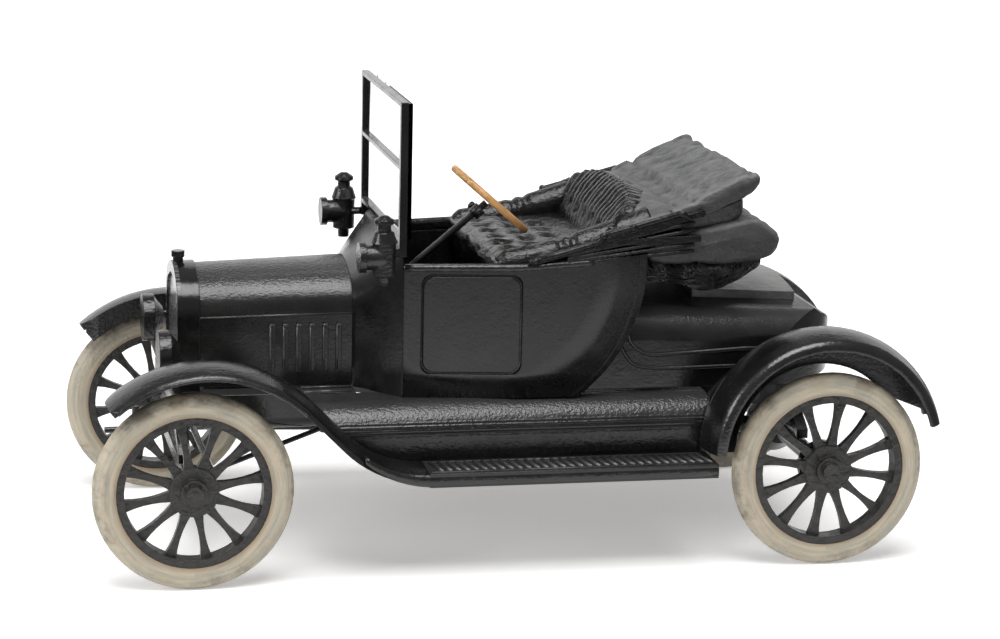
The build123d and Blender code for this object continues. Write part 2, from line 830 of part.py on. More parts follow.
def deck_lid():
    """Raised lid that follows the crown of the deck top."""
    length = deck_front_x - deck_back_x
    sheet = extrude(deck_section(deck_front_x, lid_thickness), amount=length, dir=(-1, 0, -deck_fall))
    half = deck_half_width - lid_side_gap
    lid = sheet & block((lid_back_x, lid_front_x), (-half, half), (deck_side_z, deck_top_z + 1))
    return lid - rear_deck()


# Wings
def wing_section(x, z, skirt, valance):
    """Cross-section of a left wing at its crest: an inner valance, a crown and a turned-down outer skirt."""
    inner = wing_inner_y
    crease = wing_outer_y - wing_crease_inset
    middle = (inner + crease) / 2
    lip_z = z - skirt
    low = z - wing_crease_drop
    thick = wing_wall
    outline = [
        ThreePointArc((x, inner, z), (x, middle, z + wing_crown), (x, crease, low)),
        ThreePointArc((x, crease, low), (x, wing_outer_y - skirt_round / 2, low - skirt_round), (x, wing_outer_y, lip_z)),
        Line((x, wing_outer_y, lip_z), (x, wing_outer_y - thick, lip_z)),
        Line((x, wing_outer_y - thick, lip_z), (x, crease - thick / 2, low - thick)),
        ThreePointArc(
            (x, crease - thick / 2, low - thick), (x, middle, z + wing_crown - thick), (x, inner + thick, z - thick)
        ),
        Line((x, inner + thick, z - thick), (x, inner + thick, z - valance)),
        Line((x, inner + thick, z - valance), (x, inner, z - valance)),
        Line((x, inner, z - valance), (x, inner, z)),
    ]
    return make_face(outline)


def bend(face, x, z, angle):
    """Sweep a face about the cross axis through x, z."""
    return revolve(face, axis=Axis((x, 0, z), (0, 1, 0)), revolution_arc=angle)


def front_wing():
    """Left front wing: over the wheel, down a straight slope and out level with the running board."""
    centre_z = front_wing_top_z - front_wing_radius
    deep = wing_section(front_crest_x, front_wing_top_z, front_wing_skirt, front_wing_valance)
    slim = wing_section(front_crest_x, front_wing_top_z, front_wing_skirt, wing_flange)
    ahead = bend(deep, front_crest_x, centre_z, front_wing_tip_angle)
    crown = bend(deep, front_crest_x, centre_z, -front_wing_valance_angle)
    over = bend(slim, front_crest_x, centre_z, -front_wing_fall_angle)
    fall = slim.rotate(Axis((front_crest_x, 0, centre_z), (0, 1, 0)), -front_wing_fall_angle)
    down = Vector(-cos(front_wing_turn), 0, -sin(front_wing_turn)) * front_wing_slope
    straight = extrude(fall, amount=front_wing_slope, dir=down)
    foot = fall.moved(Location(down))
    swept = bend(foot, board_front_x, board_top_z + front_wing_foot_radius, front_wing_fall_angle)
    tip_x = front_crest_x + (front_wing_radius + wing_crown) * sin(radians(front_wing_tip_angle))
    plan = block((board_front_x, tip_x), (wing_inner_y, wing_outer_y), (0, 20))
    tip_edges = plan.edges().filter_by(Axis.Z).group_by(Axis.X)[-1]
    return (ahead + crown + over + straight + swept) & fillet(tip_edges, front_wing_tip_round)


def rear_web():
    """Inner side sheet of the left rear wing, from its crown in towards the tyre and forward to the board."""
    centre_z = rear_wing_top_z - rear_wing_radius
    centre = (rear_crest_x, centre_z)
    join_x = rear_crest_x + rear_wing_radius * sin(radians(gusset_join_angle))
    join_z = centre_z + rear_wing_radius * cos(radians(gusset_join_angle))
    y = (wing_inner_y, wing_inner_y + wing_wall)
    low = (rear_crest_x, y[0], centre_z)
    high = (rear_crest_x, y[1], centre_z)
    disc = rod(low, high, rear_wing_radius)
    gusset = side_plate([(board_back_x, board_top_z), (board_back_x, gusset_top_z), (join_x, join_z), centre], y)
    below = block((rear_crest_x - 10, board_back_x + 1), y, (board_top_z - 10, board_top_z))
    tail_x = rear_axle_x - rear_overhang
    tail_z = centre_z + rear_wing_radius * cos(rear_tail_turn)
    cut_end = (tail_x + rear_web_cut_length, tail_z + rear_web_cut_length * rear_web_cut_slope)
    start = (tail_x - 1, tail_z - rear_web_cut_slope)
    tail_cut = side_plate([start, cut_end, (cut_end[0], 0), (start[0], 0)], y)
    return disc + gusset - rod(low, high, rear_web_radius) - below - tail_cut


def rear_wing():
    """Left rear wing, one round arch over the wheel down to the running board."""
    centre_z = rear_wing_top_z - rear_wing_radius
    crest = wing_section(rear_crest_x, rear_wing_top_z, rear_wing_skirt, wing_flange)
    behind = bend(crest, rear_crest_x, centre_z, -degrees(rear_tail_turn))
    ahead = bend(crest, rear_crest_x, centre_z, rear_wing_front_angle)
    return behind + ahead + rear_web()


def running_board():
    """Left running board with a turned-down outer edge."""
    x = (board_back_x, board_front_x)
    plate = block(x, (wing_inner_y, wing_outer_y), (board_top_z - board_thickness, board_top_z))
    return plate + block(x, (wing_outer_y - wing_wall, wing_outer_y), (board_top_z - board_lip, board_top_z))


def under_front_wing():
    """Space below the rear half of the front wing."""
    low = board_top_z - wing_wall
    half_turn = front_wing_turn / 2
    radius = front_wing_foot_radius
    middle = (board_front_x + radius * sin(half_turn), -10, low + radius * (1 - cos(half_turn)))
    end = (board_front_x + radius * sin(front_wing_turn), -10, low + radius * (1 - cos(front_wing_turn)))
    crest = (front_crest_x, -10, front_wing_top_z)
    edges = [
        ThreePointArc((board_front_x, -10, low), middle, end),
        Line(end, crest),
        Line(crest, (front_crest_x, -10, 0)),
        Line((front_crest_x, -10, 0), (board_front_x, -10, 0)),
        Line((board_front_x, -10, 0), (board_front_x, -10, low)),
    ]
    return extrude(make_face(edges), amount=20, dir=(0, 1, 0))


def sill_apron():
    """Left splash apron: a flange beside the frame, then a convex roll down to the running board."""
    x = board_back_x - apron_rear_reach
    face_y = wing_inner_y - apron_gap
    inner_y = face_y - apron_wall
    top = body_bottom_z
    under = top - apron_wall
    foot = board_top_z - board_thickness
    lean = apron_wall * 0.7
    roll_y = face_y - apron_roll_inset
    roll_z = top - apron_roll_drop
    edges = [
        Line((x, frame_half_width, top), (x, apron_shoulder_y, top)),
        ThreePointArc((x, apron_shoulder_y, top), (x, roll_y, roll_z), (x, face_y, apron_shoulder_z)),
        Line((x, face_y, apron_shoulder_z), (x, face_y, foot)),
        Line((x, face_y, foot), (x, inner_y, foot)),
        Line((x, inner_y, foot), (x, inner_y, apron_shoulder_z)),
        ThreePointArc((x, inner_y, apron_shoulder_z), (x, roll_y - lean, roll_z - lean), (x, apron_shoulder_y, under)),
        Line((x, apron_shoulder_y, under), (x, frame_half_width, under)),
        Line((x, frame_half_width, under), (x, frame_half_width, top)),
    ]
    return extrude(make_face(edges), amount=front_crest_x - x, dir=(1, 0, 0)) - under_front_wing()


# Windscreen
def windscreen_frame():
    """Upright frame of two posts, a top rail, a middle rail and a foot rail."""
    x = (windscreen_x - windscreen_lead, windscreen_x - windscreen_lead + frame_thickness)
    half = windscreen_half_width
    foot_z = cowl_top_z
    middle_z = foot_z + (windscreen_top_z - foot_z) * middle_rail_share
    post = block(x, (half - post_width, half), (windscreen_base_z, windscreen_top_z))
    # low and high edge of each rail
    rails = (
        (windscreen_top_z - top_rail_height, windscreen_top_z),
        (middle_z - middle_rail_height / 2, middle_z + middle_rail_height / 2),
        (foot_z, foot_z + foot_rail_height),
    )
    frame = post + to_right(post)
    return frame + [block(x, (post_width - half, half - post_width), rail) for rail in rails]


def windscreen_glass():
    """Clear plate fixed to the back of the frame."""
    half = windscreen_half_width - glass_inset
    back_x = windscreen_x - windscreen_lead
    return block((back_x - glass_thickness, back_x), (-half, half), (glass_base_z, windscreen_top_z - glass_inset))


# Lamps
def headlamp():
    """Left headlamp: lens drum, tapered back and a bracket down to the frame."""
    face_x = radiator_front_x + headlamp_forward
    back_x = face_x - headlamp_depth
    lamp = rod((back_x, headlamp_y, headlamp_z), (face_x, headlamp_y, headlamp_z), headlamp_radius)
    cone = Cone(headlamp_radius * 0.92, headlamp_back_radius, headlamp_back_depth)
    back = Plane(origin=(back_x, headlamp_y, headlamp_z), z_dir=(-1, 0, 0))
    cone = back * Pos(0, 0, headlamp_back_depth / 2) * cone
    post_foot = (front_axle_x + headlamp_foot_forward, frame_half_width - rail_width / 2, rail_top_z)
    post = rod((back_x, headlamp_y, headlamp_z - headlamp_post_drop), post_foot, headlamp_post_radius)
    return lamp + cone + post


def side_lamp():
    """Left side lamp: drum body with a stepped chimney, a round lens barrel and a foot."""
    x = windscreen_x + side_lamp_forward
    # radius and height above the lamp's centre, in drum radii
    steps = (
        (0.00, -2.31), (0.48, -2.31), (0.52, -1.67), (0.96, -1.48), (1.00, 1.11), (1.11, 1.22), (0.81, 2.13),
        (0.56, 2.31), (0.56, 2.69), (0.85, 2.87), (0.81, 3.19), (0.30, 3.52), (0.00, 3.56),
    )
    outline = [(side_lamp_radius * share, 0, side_lamp_radius * height) for share, height in steps]
    lamp = Pos(x, side_lamp_y, side_lamp_z) * revolve(make_face(Polyline(*outline, close=True)), axis=Axis.Z)
    centre = (x, side_lamp_y, side_lamp_z)
    rim_x = x + lens_barrel_reach
    lamp += rod(centre, (rim_x, side_lamp_y, side_lamp_z), lens_barrel_radius)
    lamp += rod((rim_x - lens_rim_depth, side_lamp_y, side_lamp_z), (rim_x, side_lamp_y, side_lamp_z), lens_rim_radius)
    bracket_x = windscreen_x - windscreen_lead + frame_thickness
    bracket_end = (bracket_x, windscreen_half_width - post_width / 2, windscreen_base_z + lamp_bracket_radius)
    return lamp + rod(centre, bracket_end, lamp_bracket_radius)


# Steering
def steering_column():
    """Column from the firewall up to the steering wheel's hub."""
    lean = radians(column_lean)
    centre = Vector(steering_centre_x, column_y, steering_centre_z)
    length = (bonnet_rear_x - body_wall - steering_centre_x) / cos(lean) - column_radius
    foot = centre + Vector(cos(lean), 0, -sin(lean)) * length
    return rod((foot.X, foot.Y, foot.Z), (centre.X, centre.Y, centre.Z), column_radius)


def steering_wheel():
    """Wooden ring on four spokes, with its hub on top of the column."""
    lean = radians(ring_lean)
    plane = Plane(
        origin=(steering_centre_x - column_radius, column_y, steering_centre_z + column_radius),
        x_dir=(sin(lean), 0, cos(lean)),
        z_dir=(-cos(lean), 0, sin(lean)),
    )
    ring = Torus(steering_ring_radius, steering_ring_thickness)
    hub = Cylinder(steering_hub_radius, steering_hub_height)
    bar = Pos(steering_ring_radius / 2, 0, 0) * Box(steering_ring_radius, steering_bar_width, steering_bar_width / 2)
    return plane * (ring + hub + [Rot(0, 0, 90 * turn + 45) * bar for turn in range(4)])


# Folded top
def folded_top():
    """Folded top: a thin upper fold on a wedge of lower folds, rising towards the back."""
    base_z = rail_z + rail_rise
    # way back from the top's front edge and height above the rail's rear end
    lower = (
        (0.00, -0.10), (2.35, 1.38), (4.65, 2.36), (6.12, 1.00), (6.20, 0.62), (5.70, -0.70), (3.80, -1.55),
        (2.75, -1.60), (1.50, -0.92), (0.20, -0.50),
    )
    upper = ((1.55, 1.85), (5.10, 3.40), (5.35, 3.10), (4.55, 2.30), (1.75, 1.25))
    half = top_half_width
    stack = side_plate([(top_front_x - back, base_z + up) for back, up in lower], (-half, half), fold_rounding)
    wide = half + top_overhang
    return stack + side_plate([(top_front_x - back, base_z + up) for back, up in upper], (-wide, wide))


def iron_link(start, end):
    """Flat bar between two (x, z) points in the plane of the left irons."""
    y = (top_iron_y - top_iron_width, top_iron_y)
    half = iron_height / 2
    return side_plate(
        [(start[0], start[1] - half), (start[0], start[1] + half), (end[0], end[1] + half), (end[0], end[1] - half)], y
    )


def top_irons():
    """Left folded top irons, from a foot on the body rail to a pin in the folded top."""
    foot = (door_back_x - iron_foot_gap, rail_z + iron_foot_rise)
    knee = (foot[0] - iron_knee_length, foot[1] + iron_knee_rise)
    tail = (foot[0] - iron_length, foot[1] + iron_rise)
    stay_end = (foot[0] - iron_length, foot[1] + iron_stay_rise)
    knee_boss = rod((knee[0], top_iron_y - top_iron_width, knee[1]), (knee[0], top_iron_y, knee[1]), iron_height)
    pin = rod((tail[0], top_half_width + top_overhang, tail[1]), (tail[0], top_iron_y, tail[1]), iron_height * 0.6)
    return iron_link(foot, knee) + iron_link(knee, tail) + iron_link(knee, stay_end) + knee_boss + pin


# Assembly: node name to shape
nodes = {}
nodes["frame_rail_left"] = frame_rail()
nodes["frame_rail_right"] = to_right(frame_rail())
nodes["front_cross_member"] = cross_member(front_axle_x)
nodes["rear_cross_member"] = cross_member(rear_axle_x)
nodes["front_axle"] = front_axle()
nodes["front_knuckle_left"] = front_knuckle()
nodes["front_knuckle_right"] = to_right(front_knuckle())
nodes["rear_axle"] = rear_axle()
nodes["front_spring"] = spring(front_axle_x, front_tyre_radius - front_beam_drop + front_beam_height / 2)
nodes["rear_spring"] = spring(rear_axle_x, rear_tyre_radius + axle_tube_radius)
nodes["tie_rod"] = tie_rod()
nodes["radius_rods"] = radius_rods()
nodes["torque_tube"] = torque_tube()
nodes["engine"] = engine()
nodes["radiator"] = radiator()
nodes["radiator_cap"] = radiator_cap()
nodes["starting_crank"] = starting_crank()
nodes["bonnet"] = bonnet()
nodes["cowl"] = cowl()
nodes["firewall"] = firewall()
nodes["floor_pan"] = floor_pan()
nodes["body_side_left"] = body_side()
nodes["body_side_right"] = to_right(body_side())
nodes["door_left"] = door()
nodes["door_right"] = to_right(door())
nodes["rear_panel"] = rear_panel()
nodes["seat_box"] = seat_box()
nodes["seat_cushion"] = seat_cushion()
nodes["seat_back"] = seat_back()
nodes["rear_deck"] = rear_deck()
nodes["deck_lid"] = deck_lid()
for side, turn in (("left", lambda piece: piece), ("right", to_right)):
    nodes["front_wing_" + side] = turn(front_wing())
    nodes["rear_wing_" + side] = turn(rear_wing())
    nodes["running_board_" + side] = turn(running_board())
    nodes["sill_apron_" + side] = turn(sill_apron())
    nodes["headlamp_" + side] = turn(headlamp())
    nodes["side_lamp_" + side] = turn(side_lamp())
    nodes["top_irons_" + side] = turn(top_irons())
nodes["windscreen_frame"] = windscreen_frame()
nodes["windscreen_glass"] = windscreen_glass()
nodes["steering_column"] = steering_column()
nodes["steering_wheel"] = steering_wheel()
nodes["folded_top"] = folded_top()
# end, axle, tyre radius, rim radius, turn of the spokes
for end, axle_x, tyre_radius, rim_radius, turned in (
    ("front", front_axle_x, front_tyre_radius, front_rim_radius, front_spoke_turn),
    ("rear", rear_axle_x, rear_tyre_radius, rear_rim_radius, rear_spoke_turn),
):
    place = Pos(axle_x, half_track, tyre_radius)
    wheel = Rot(0, turned, 0) * spoked_wheel(rim_radius)
    for kind, piece in (("wheel", wheel), ("tyre", tyre(tyre_radius, rim_radius))):
        nodes[end + "_" + kind + "_left"] = place * piece
        nodes[end + "_" + kind + "_right"] = to_right(place * piece)

os.makedirs("parts", exist_ok=True)
for name, shape in nodes.items():
    export_step(shape, "parts/" + name + ".step")
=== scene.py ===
import math

import bmesh
import bpy
from mathutils import Matrix, Vector, noise
from mathutils.bvhtree import BVHTree


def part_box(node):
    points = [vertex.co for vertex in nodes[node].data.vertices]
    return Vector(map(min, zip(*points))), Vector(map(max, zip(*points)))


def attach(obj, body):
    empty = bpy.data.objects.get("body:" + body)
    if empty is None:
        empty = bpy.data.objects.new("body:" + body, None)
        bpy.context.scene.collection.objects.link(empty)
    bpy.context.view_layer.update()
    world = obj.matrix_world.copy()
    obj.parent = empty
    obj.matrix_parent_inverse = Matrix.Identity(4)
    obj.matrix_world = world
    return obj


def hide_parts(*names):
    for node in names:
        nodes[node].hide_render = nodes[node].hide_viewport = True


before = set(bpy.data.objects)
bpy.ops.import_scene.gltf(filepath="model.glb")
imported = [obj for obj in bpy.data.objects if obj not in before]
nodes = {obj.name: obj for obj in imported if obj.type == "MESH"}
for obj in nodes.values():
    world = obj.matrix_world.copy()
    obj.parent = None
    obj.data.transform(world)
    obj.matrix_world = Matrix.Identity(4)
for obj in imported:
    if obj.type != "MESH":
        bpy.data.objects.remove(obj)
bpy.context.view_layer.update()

MM = 0.001
front_axle_x = sum(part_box("front_tyre_left")[i][0] for i in (0, 1)) / 2
rear_axle_x = sum(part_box("rear_tyre_left")[i][0] for i in (0, 1)) / 2
front_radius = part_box("front_tyre_left")[1][2] / 2
rear_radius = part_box("rear_tyre_left")[1][2] / 2
# places along the car were read with the front axle at this x, in millimetres
read_front_axle_x = 14.58
axle = front_axle_x / MM - read_front_axle_x


# Shader helpers
class Shader:
    """One node material with short calls for its nodes."""

    def __init__(self, name):
        self.material = bpy.data.materials.new(name)
        self.material.use_nodes = True
        self.tree = self.material.node_tree
        self.tree.nodes.clear()
        self.output = self.tree.nodes.new("ShaderNodeOutputMaterial")
        self.surface = self.tree.nodes.new("ShaderNodeBsdfPrincipled")
        self.tree.links.new(self.surface.outputs[0], self.output.inputs[0])

    def add(self, kind, inputs=(), **values):
        """New node, its sockets set from a value or linked from a socket."""
        node = self.tree.nodes.new(kind)
        for name, value in values.items():
            setattr(node, name, value)
        for socket, value in dict(inputs).items():
            self.feed(node.inputs[socket], value)
        return node

    def feed(self, socket, value):
        if isinstance(value, bpy.types.NodeSocket):
            self.tree.links.new(value, socket)
        else:
            socket.default_value = value

    def set(self, **values):
        """Sockets of the surface, underscores for spaces."""
        for name, value in values.items():
            self.feed(self.surface.inputs[name.replace("_", " ")], value)

    def place(self, centre=(0, 0, 0), scale=(1, 1, 1)):
        """Object coordinates in millimetres about a centre."""
        source = self.add("ShaderNodeTexCoord").outputs["Object"]
        middle = [c * MM for c in centre]
        offset = self.add("ShaderNodeVectorMath", {0: source, 1: middle}, operation="SUBTRACT").outputs[0]
        size = [share / MM for share in scale]
        return self.add("ShaderNodeVectorMath", {0: offset, 1: size}, operation="MULTIPLY").outputs[0]

    def noise(self, vector, scale, detail=3.0, rough=0.5, warp=0.0):
        inputs = {"Vector": vector, "Scale": scale, "Detail": detail, "Roughness": rough, "Distortion": warp}
        return self.add("ShaderNodeTexNoise", inputs).outputs["Fac"]

    def math(self, operation, a, b=0.0, c=0.0):
        return self.add("ShaderNodeMath", {0: a, 1: b, 2: c}, operation=operation).outputs[0]

    def span(self, value, low, high, to_low=0.0, to_high=1.0):
        """Value between low and high, stretched and clamped to a new range."""
        inputs = {"Value": value, "From Min": low, "From Max": high, "To Min": to_low, "To Max": to_high}
        return self.add("ShaderNodeMapRange", inputs).outputs[0]

    def mix(self, factor, a, b):
        node = self.add("ShaderNodeMix", data_type="RGBA")
        self.feed(node.inputs[0], factor)
        self.feed(node.inputs[6], a)
        self.feed(node.inputs[7], b)
        return node.outputs[2]

    def bump(self, height, distance, strength=1.0, round_edges=0.0):
        """Relief of a height in millimetres, over edges rounded by a radius."""
        inputs = {"Height": height, "Distance": distance * MM, "Strength": strength}
        if round_edges:
            edge = self.add("ShaderNodeBevel", {"Radius": round_edges * MM}, samples=4)
            inputs["Normal"] = edge.outputs[0]
        return self.add("ShaderNodeBump", inputs).outputs[0]

    def parts(self, vector):
        """The three components of a vector."""
        return self.add("ShaderNodeSeparateXYZ", {0: vector}).outputs

    def length(self, vector):
        return self.add("ShaderNodeVectorMath", {0: vector}, operation="LENGTH").outputs["Value"]

    def seen(self, path):
        """One for what the camera sees, also in metal and through glass."""
        mirrored = self.math("MAXIMUM", path["Is Glossy Ray"], path["Is Transmission Ray"])
        return self.math("MAXIMUM", path["Is Camera Ray"], mirrored)

    def turned(self, reach, start, full, slope):
        """Height of a skin that bends away near an edge, from the distance to that edge."""
        bend = self.span(reach, full, start, start - full, 0.0)
        beyond = self.math("MAXIMUM", self.math("SUBTRACT", full, reach), 0.0)
        curve = self.math("MULTIPLY", bend, bend)
        straight = self.math("MULTIPLY", beyond, -slope)
        return self.math("MULTIPLY_ADD", curve, -slope / 2 / (start - full), straight)

    def bands(self, vector, scale, wander, direction, **more):
        """Even bands across one direction."""
        inputs = {"Vector": vector, "Scale": scale, "Distortion": wander, **more}
        wave = self.add("ShaderNodeTexWave", inputs, wave_type="BANDS", bands_direction=direction)
        return wave.outputs["Fac"]


def grey(value, warm=0.0):
    return (value * (1 + warm), value, value * (1 - warm), 1)


def circle(a, b, c):
    """Centre and radius of the circle through three points in a plane."""
    d = 2 * (a[0] * (b[1] - c[1]) + b[0] * (c[1] - a[1]) + c[0] * (a[1] - b[1]))
    squares = [spot[0] ** 2 + spot[1] ** 2 for spot in (a, b, c)]
    x = (squares[0] * (b[1] - c[1]) + squares[1] * (c[1] - a[1]) + squares[2] * (a[1] - b[1])) / d
    y = (squares[0] * (c[0] - b[0]) + squares[1] * (a[0] - c[0]) + squares[2] * (b[0] - a[0])) / d
    return (x, y), math.dist((x, y), a)


# Materials
def panel_relief(look, spot):
    """The body's skin leans out a little, turns under at the sill and is rounded at its back."""
    parts = look.parts(spot)
    x, z = parts[0], parts[2]
    lean = look.math("MULTIPLY", z, 0.055)
    sill = look.turned(look.math("SUBTRACT", z, sill_z), 1.15, 0.75, 0.42)
    across = look.math("SUBTRACT", x, back_centre[0])
    above = look.math("SUBTRACT", z, back_centre[1])
    reach = look.math("SQRT", look.math("MULTIPLY_ADD", across, across, look.math("MULTIPLY", above, above)))
    back = look.turned(look.math("SUBTRACT", back_radius, reach), 2.3, 1.2, 0.45)
    return look.math("ADD", lean, look.math("ADD", sill, back))


def gloss_black(name, dark=0.004, rough=0.12, relief=0.010, level=0.46, lines=0.0, panel=False, grain=0.0):
    """Brushed-on black gloss: orange peel, level casting lines, dull patches and dust specks; with grain,
    faces that lie flat are also painted paler, a painted sheen.
    """
    look = Shader(name)
    spot = look.place()
    drawn = look.place(scale=(0.7, 1.0, 1.0))
    peel = look.noise(drawn, 3.2, 2.0, 0.5)
    broad = look.noise(spot, 0.9, 2.0, 0.5)
    fine = look.noise(drawn, 8.0, 2.0, 0.6)
    height = look.math("MULTIPLY_ADD", broad, 1.2, look.math("MULTIPLY", peel, 0.6))
    height = look.math("MULTIPLY_ADD", fine, 0.8, height)
    patch = look.noise(spot, 0.6, 3.0, 0.55)
    dust = look.span(look.noise(spot, 26.0, 1.0, 0.5), 0.76, 0.82)
    paint = look.mix(look.span(patch, 0.35, 0.7), grey(dark), grey(dark * 2.2, 0.04))
    if grain:
        facing = look.parts(look.add("ShaderNodeNewGeometry").outputs["Normal"])[2]
        lying_pits_and_sheen = look.span(look.math("ABSOLUTE", facing), 0.25, 0.75)
        pits = look.math("MULTIPLY", look.noise(drawn, 8.5, 2.0, 0.6), grain)
        height = look.math("MULTIPLY_ADD", pits, lying_pits_and_sheen, height)
        # faces that lie flat are painted paler here, a painted sheen of the light from above
        paint = look.mix(look.math("MULTIPLY", lying_pits_and_sheen, 0.5), paint, grey(0.05))
    if lines:
        z = look.parts(spot)[2]
        band = look.math("MULTIPLY", look.span(z, 6.95, 6.8, 0.0, lines), look.span(z, 6.3, 6.4))
        cast_lines = look.bands(spot, 0.314 / line_pitch, 0.3, "Z", **{"Detail": 2.0, "Detail Scale": 0.6})
        height = look.math("MULTIPLY_ADD", cast_lines, band, height)
    look.set(
        Base_Color=look.mix(look.math("MULTIPLY", dust, 0.35), paint, grey(0.25)),
        Roughness=look.span(look.math("MULTIPLY_ADD", fine, 0.4, patch), 0.45, 0.95, rough, rough + 0.14),
        Normal=look.bump(height, relief, 1.0, 0.07),
    )
    if panel:
        whole = look.math("MULTIPLY_ADD", height, relief, panel_relief(look, spot))
        look.set(Normal=look.bump(whole, 1.0, 1.0, 0.07))
    look.surface.inputs["Specular IOR Level"].default_value = level
    return look.material


def tyre_paint(name, x, radius, crown_dirt):
    """Cream paint on a tyre with rings of grey-green and tan streaks and dark smudges near the tread."""
    look = Shader(name)
    spot = look.place(centre=(x, 0, radius))
    ahead, across, above = look.parts(spot)
    r = look.length(look.add("ShaderNodeCombineXYZ", {0: ahead, 2: above}).outputs[0])
    turn = look.math("ARCTAN2", ahead, above)
    unrolled = {0: look.math("MULTIPLY", r, 4.5), 1: look.math("MULTIPLY", turn, 1.2), 2: across}
    ring = look.add("ShaderNodeCombineXYZ", unrolled).outputs[0]
    streak = look.noise(ring, 1.2, 4.0, 0.62, 0.4)
    mottle = look.noise(spot, 1.0, 5.0, 0.62, 0.3)
    base = look.mix(look.span(streak, 0.40, 0.66), (0.47, 0.405, 0.305, 1), (0.30, 0.295, 0.25, 1))
    base = look.mix(look.span(mottle, 0.48, 0.76, 0.0, 0.6), base, (0.40, 0.32, 0.21, 1))
    rim = look.span(r, radius - 1.0, radius - 0.8, 0.7, 0.0)
    base = look.mix(rim, base, (0.24, 0.17, 0.10, 1))
    blots = look.span(look.noise(spot, 0.6, 4.0, 0.7), 0.50, 0.64)
    smudge = look.math("MULTIPLY", blots, look.span(r, radius - 0.75, radius - 0.05))
    from_top = look.math("ABSOLUTE", look.math("SUBTRACT", turn, 0.15))
    crown = look.math("MULTIPLY", look.span(from_top, 0.75, 0.35), crown_dirt)
    dirt = look.math("MULTIPLY", crown, look.span(look.noise(spot, 1.1, 4.0, 0.65), 0.40, 0.56))
    dirt = look.math("MULTIPLY", dirt, look.span(r, radius - 0.62, radius - 0.3))
    smudge = look.math("MAXIMUM", smudge, dirt)
    base = look.mix(look.math("MULTIPLY", smudge, 0.75), base, (0.10, 0.08, 0.06, 1))
    peel = look.noise(spot, 4.4, 4.0, 0.6)
    look.set(Base_Color=base, Roughness=look.span(peel, 0.3, 0.7, 0.36, 0.55), Normal=look.bump(peel, 0.06))
    return look.material


def wheel_black(name):
    """Dull black on the cast wheels, uneven and a little lumpy."""
    look = Shader(name)
    spot = look.place()
    lump = look.noise(spot, 2.8, 4.0, 0.6)
    look.set(
        Base_Color=look.mix(look.span(lump, 0.4, 0.7), (0.010, 0.010, 0.010, 1), (0.030, 0.026, 0.023, 1)),
        Roughness=look.span(lump, 0.35, 0.7, 0.30, 0.5),
        Normal=look.bump(lump, 0.10, 1.0, 0.06),
    )
    return look.material


def top_grey(name):
    """Dull grey on what lies flat, worn lighter on the ridges, with painted shade: near black and glossier on
    what stands or hangs and on what lies low.
    """
    look = Shader(name)
    spot = look.place()
    crease = look.noise(look.place(scale=(0.8, 1.2, 1.6)), 1.3, 5.0, 0.62, 0.6)
    z = look.parts(spot)[2]
    fine = look.noise(spot, 7.0, 4.0, 0.6)
    surface = look.add("ShaderNodeNewGeometry").outputs
    worn = look.span(surface["Pointiness"], 0.48, 0.56)
    # painted shade: faces that stand or hang, and everything low down, go near black
    standing_shade = look.span(look.parts(surface["Normal"])[2], 0.0, 0.65, 0.85, 0.0)
    shade = look.math("MAXIMUM", standing_shade, look.span(z, 13.6, 15.9, 0.9, 0.0))
    base = look.mix(look.span(crease, 0.40, 0.66), (0.045, 0.046, 0.048, 1), (0.125, 0.126, 0.128, 1))
    base = look.mix(look.math("MULTIPLY", worn, 0.6), base, grey(0.19))
    look.set(
        Base_Color=look.mix(shade, base, grey(0.010)),
        Roughness=look.math("MULTIPLY_ADD", shade, -0.26, look.span(fine, 0.3, 0.7, 0.45, 0.68)),
        Normal=look.bump(look.math("MULTIPLY_ADD", fine, 0.3, crease), 0.10),
    )
    return look.material


def ring_tan(name, centre, lean, inner):
    """Tan ring with black spokes and hub inside it."""
    look = Shader(name)
    spot = look.place(centre=centre)
    grain = look.noise(look.place(), 2.2, 4.0, 0.6, 0.5)
    upright = (-math.cos(lean), 0, math.sin(lean))
    along = look.add("ShaderNodeVectorMath", {0: spot, 1: upright}, operation="DOT_PRODUCT")
    lift = along.outputs["Value"]
    reach = look.length(spot)
    square = look.math("SUBTRACT", look.math("MULTIPLY", reach, reach), look.math("MULTIPLY", lift, lift))
    flat = look.math("SQRT", square)
    tan = look.mix(look.span(grain, 0.35, 0.7), (0.50, 0.27, 0.095, 1), (0.30, 0.155, 0.055, 1))
    look.set(
        Base_Color=look.mix(look.span(flat, inner - 0.03, inner + 0.03), grey(0.012), tan),
        Roughness=look.span(grain, 0.3, 0.7, 0.36, 0.5),
        Normal=look.bump(look.noise(spot, 5.0), 0.03),
    )
    return look.material


def clear_plate(name):
    """Thin clear film with a faint haze."""
    look = Shader(name)
    spot = look.place()
    haze = look.noise(spot, 0.8, 3.0, 0.5)
    look.set(
        Base_Color=look.mix(look.span(haze, 0.3, 0.7), (1.0, 0.995, 0.995, 1), (0.985, 0.975, 0.975, 1)),
        Transmission_Weight=1.0,
        IOR=1.06,
        Roughness=look.span(haze, 0.3, 0.7, 0.0, 0.03),
    )
    return look.material


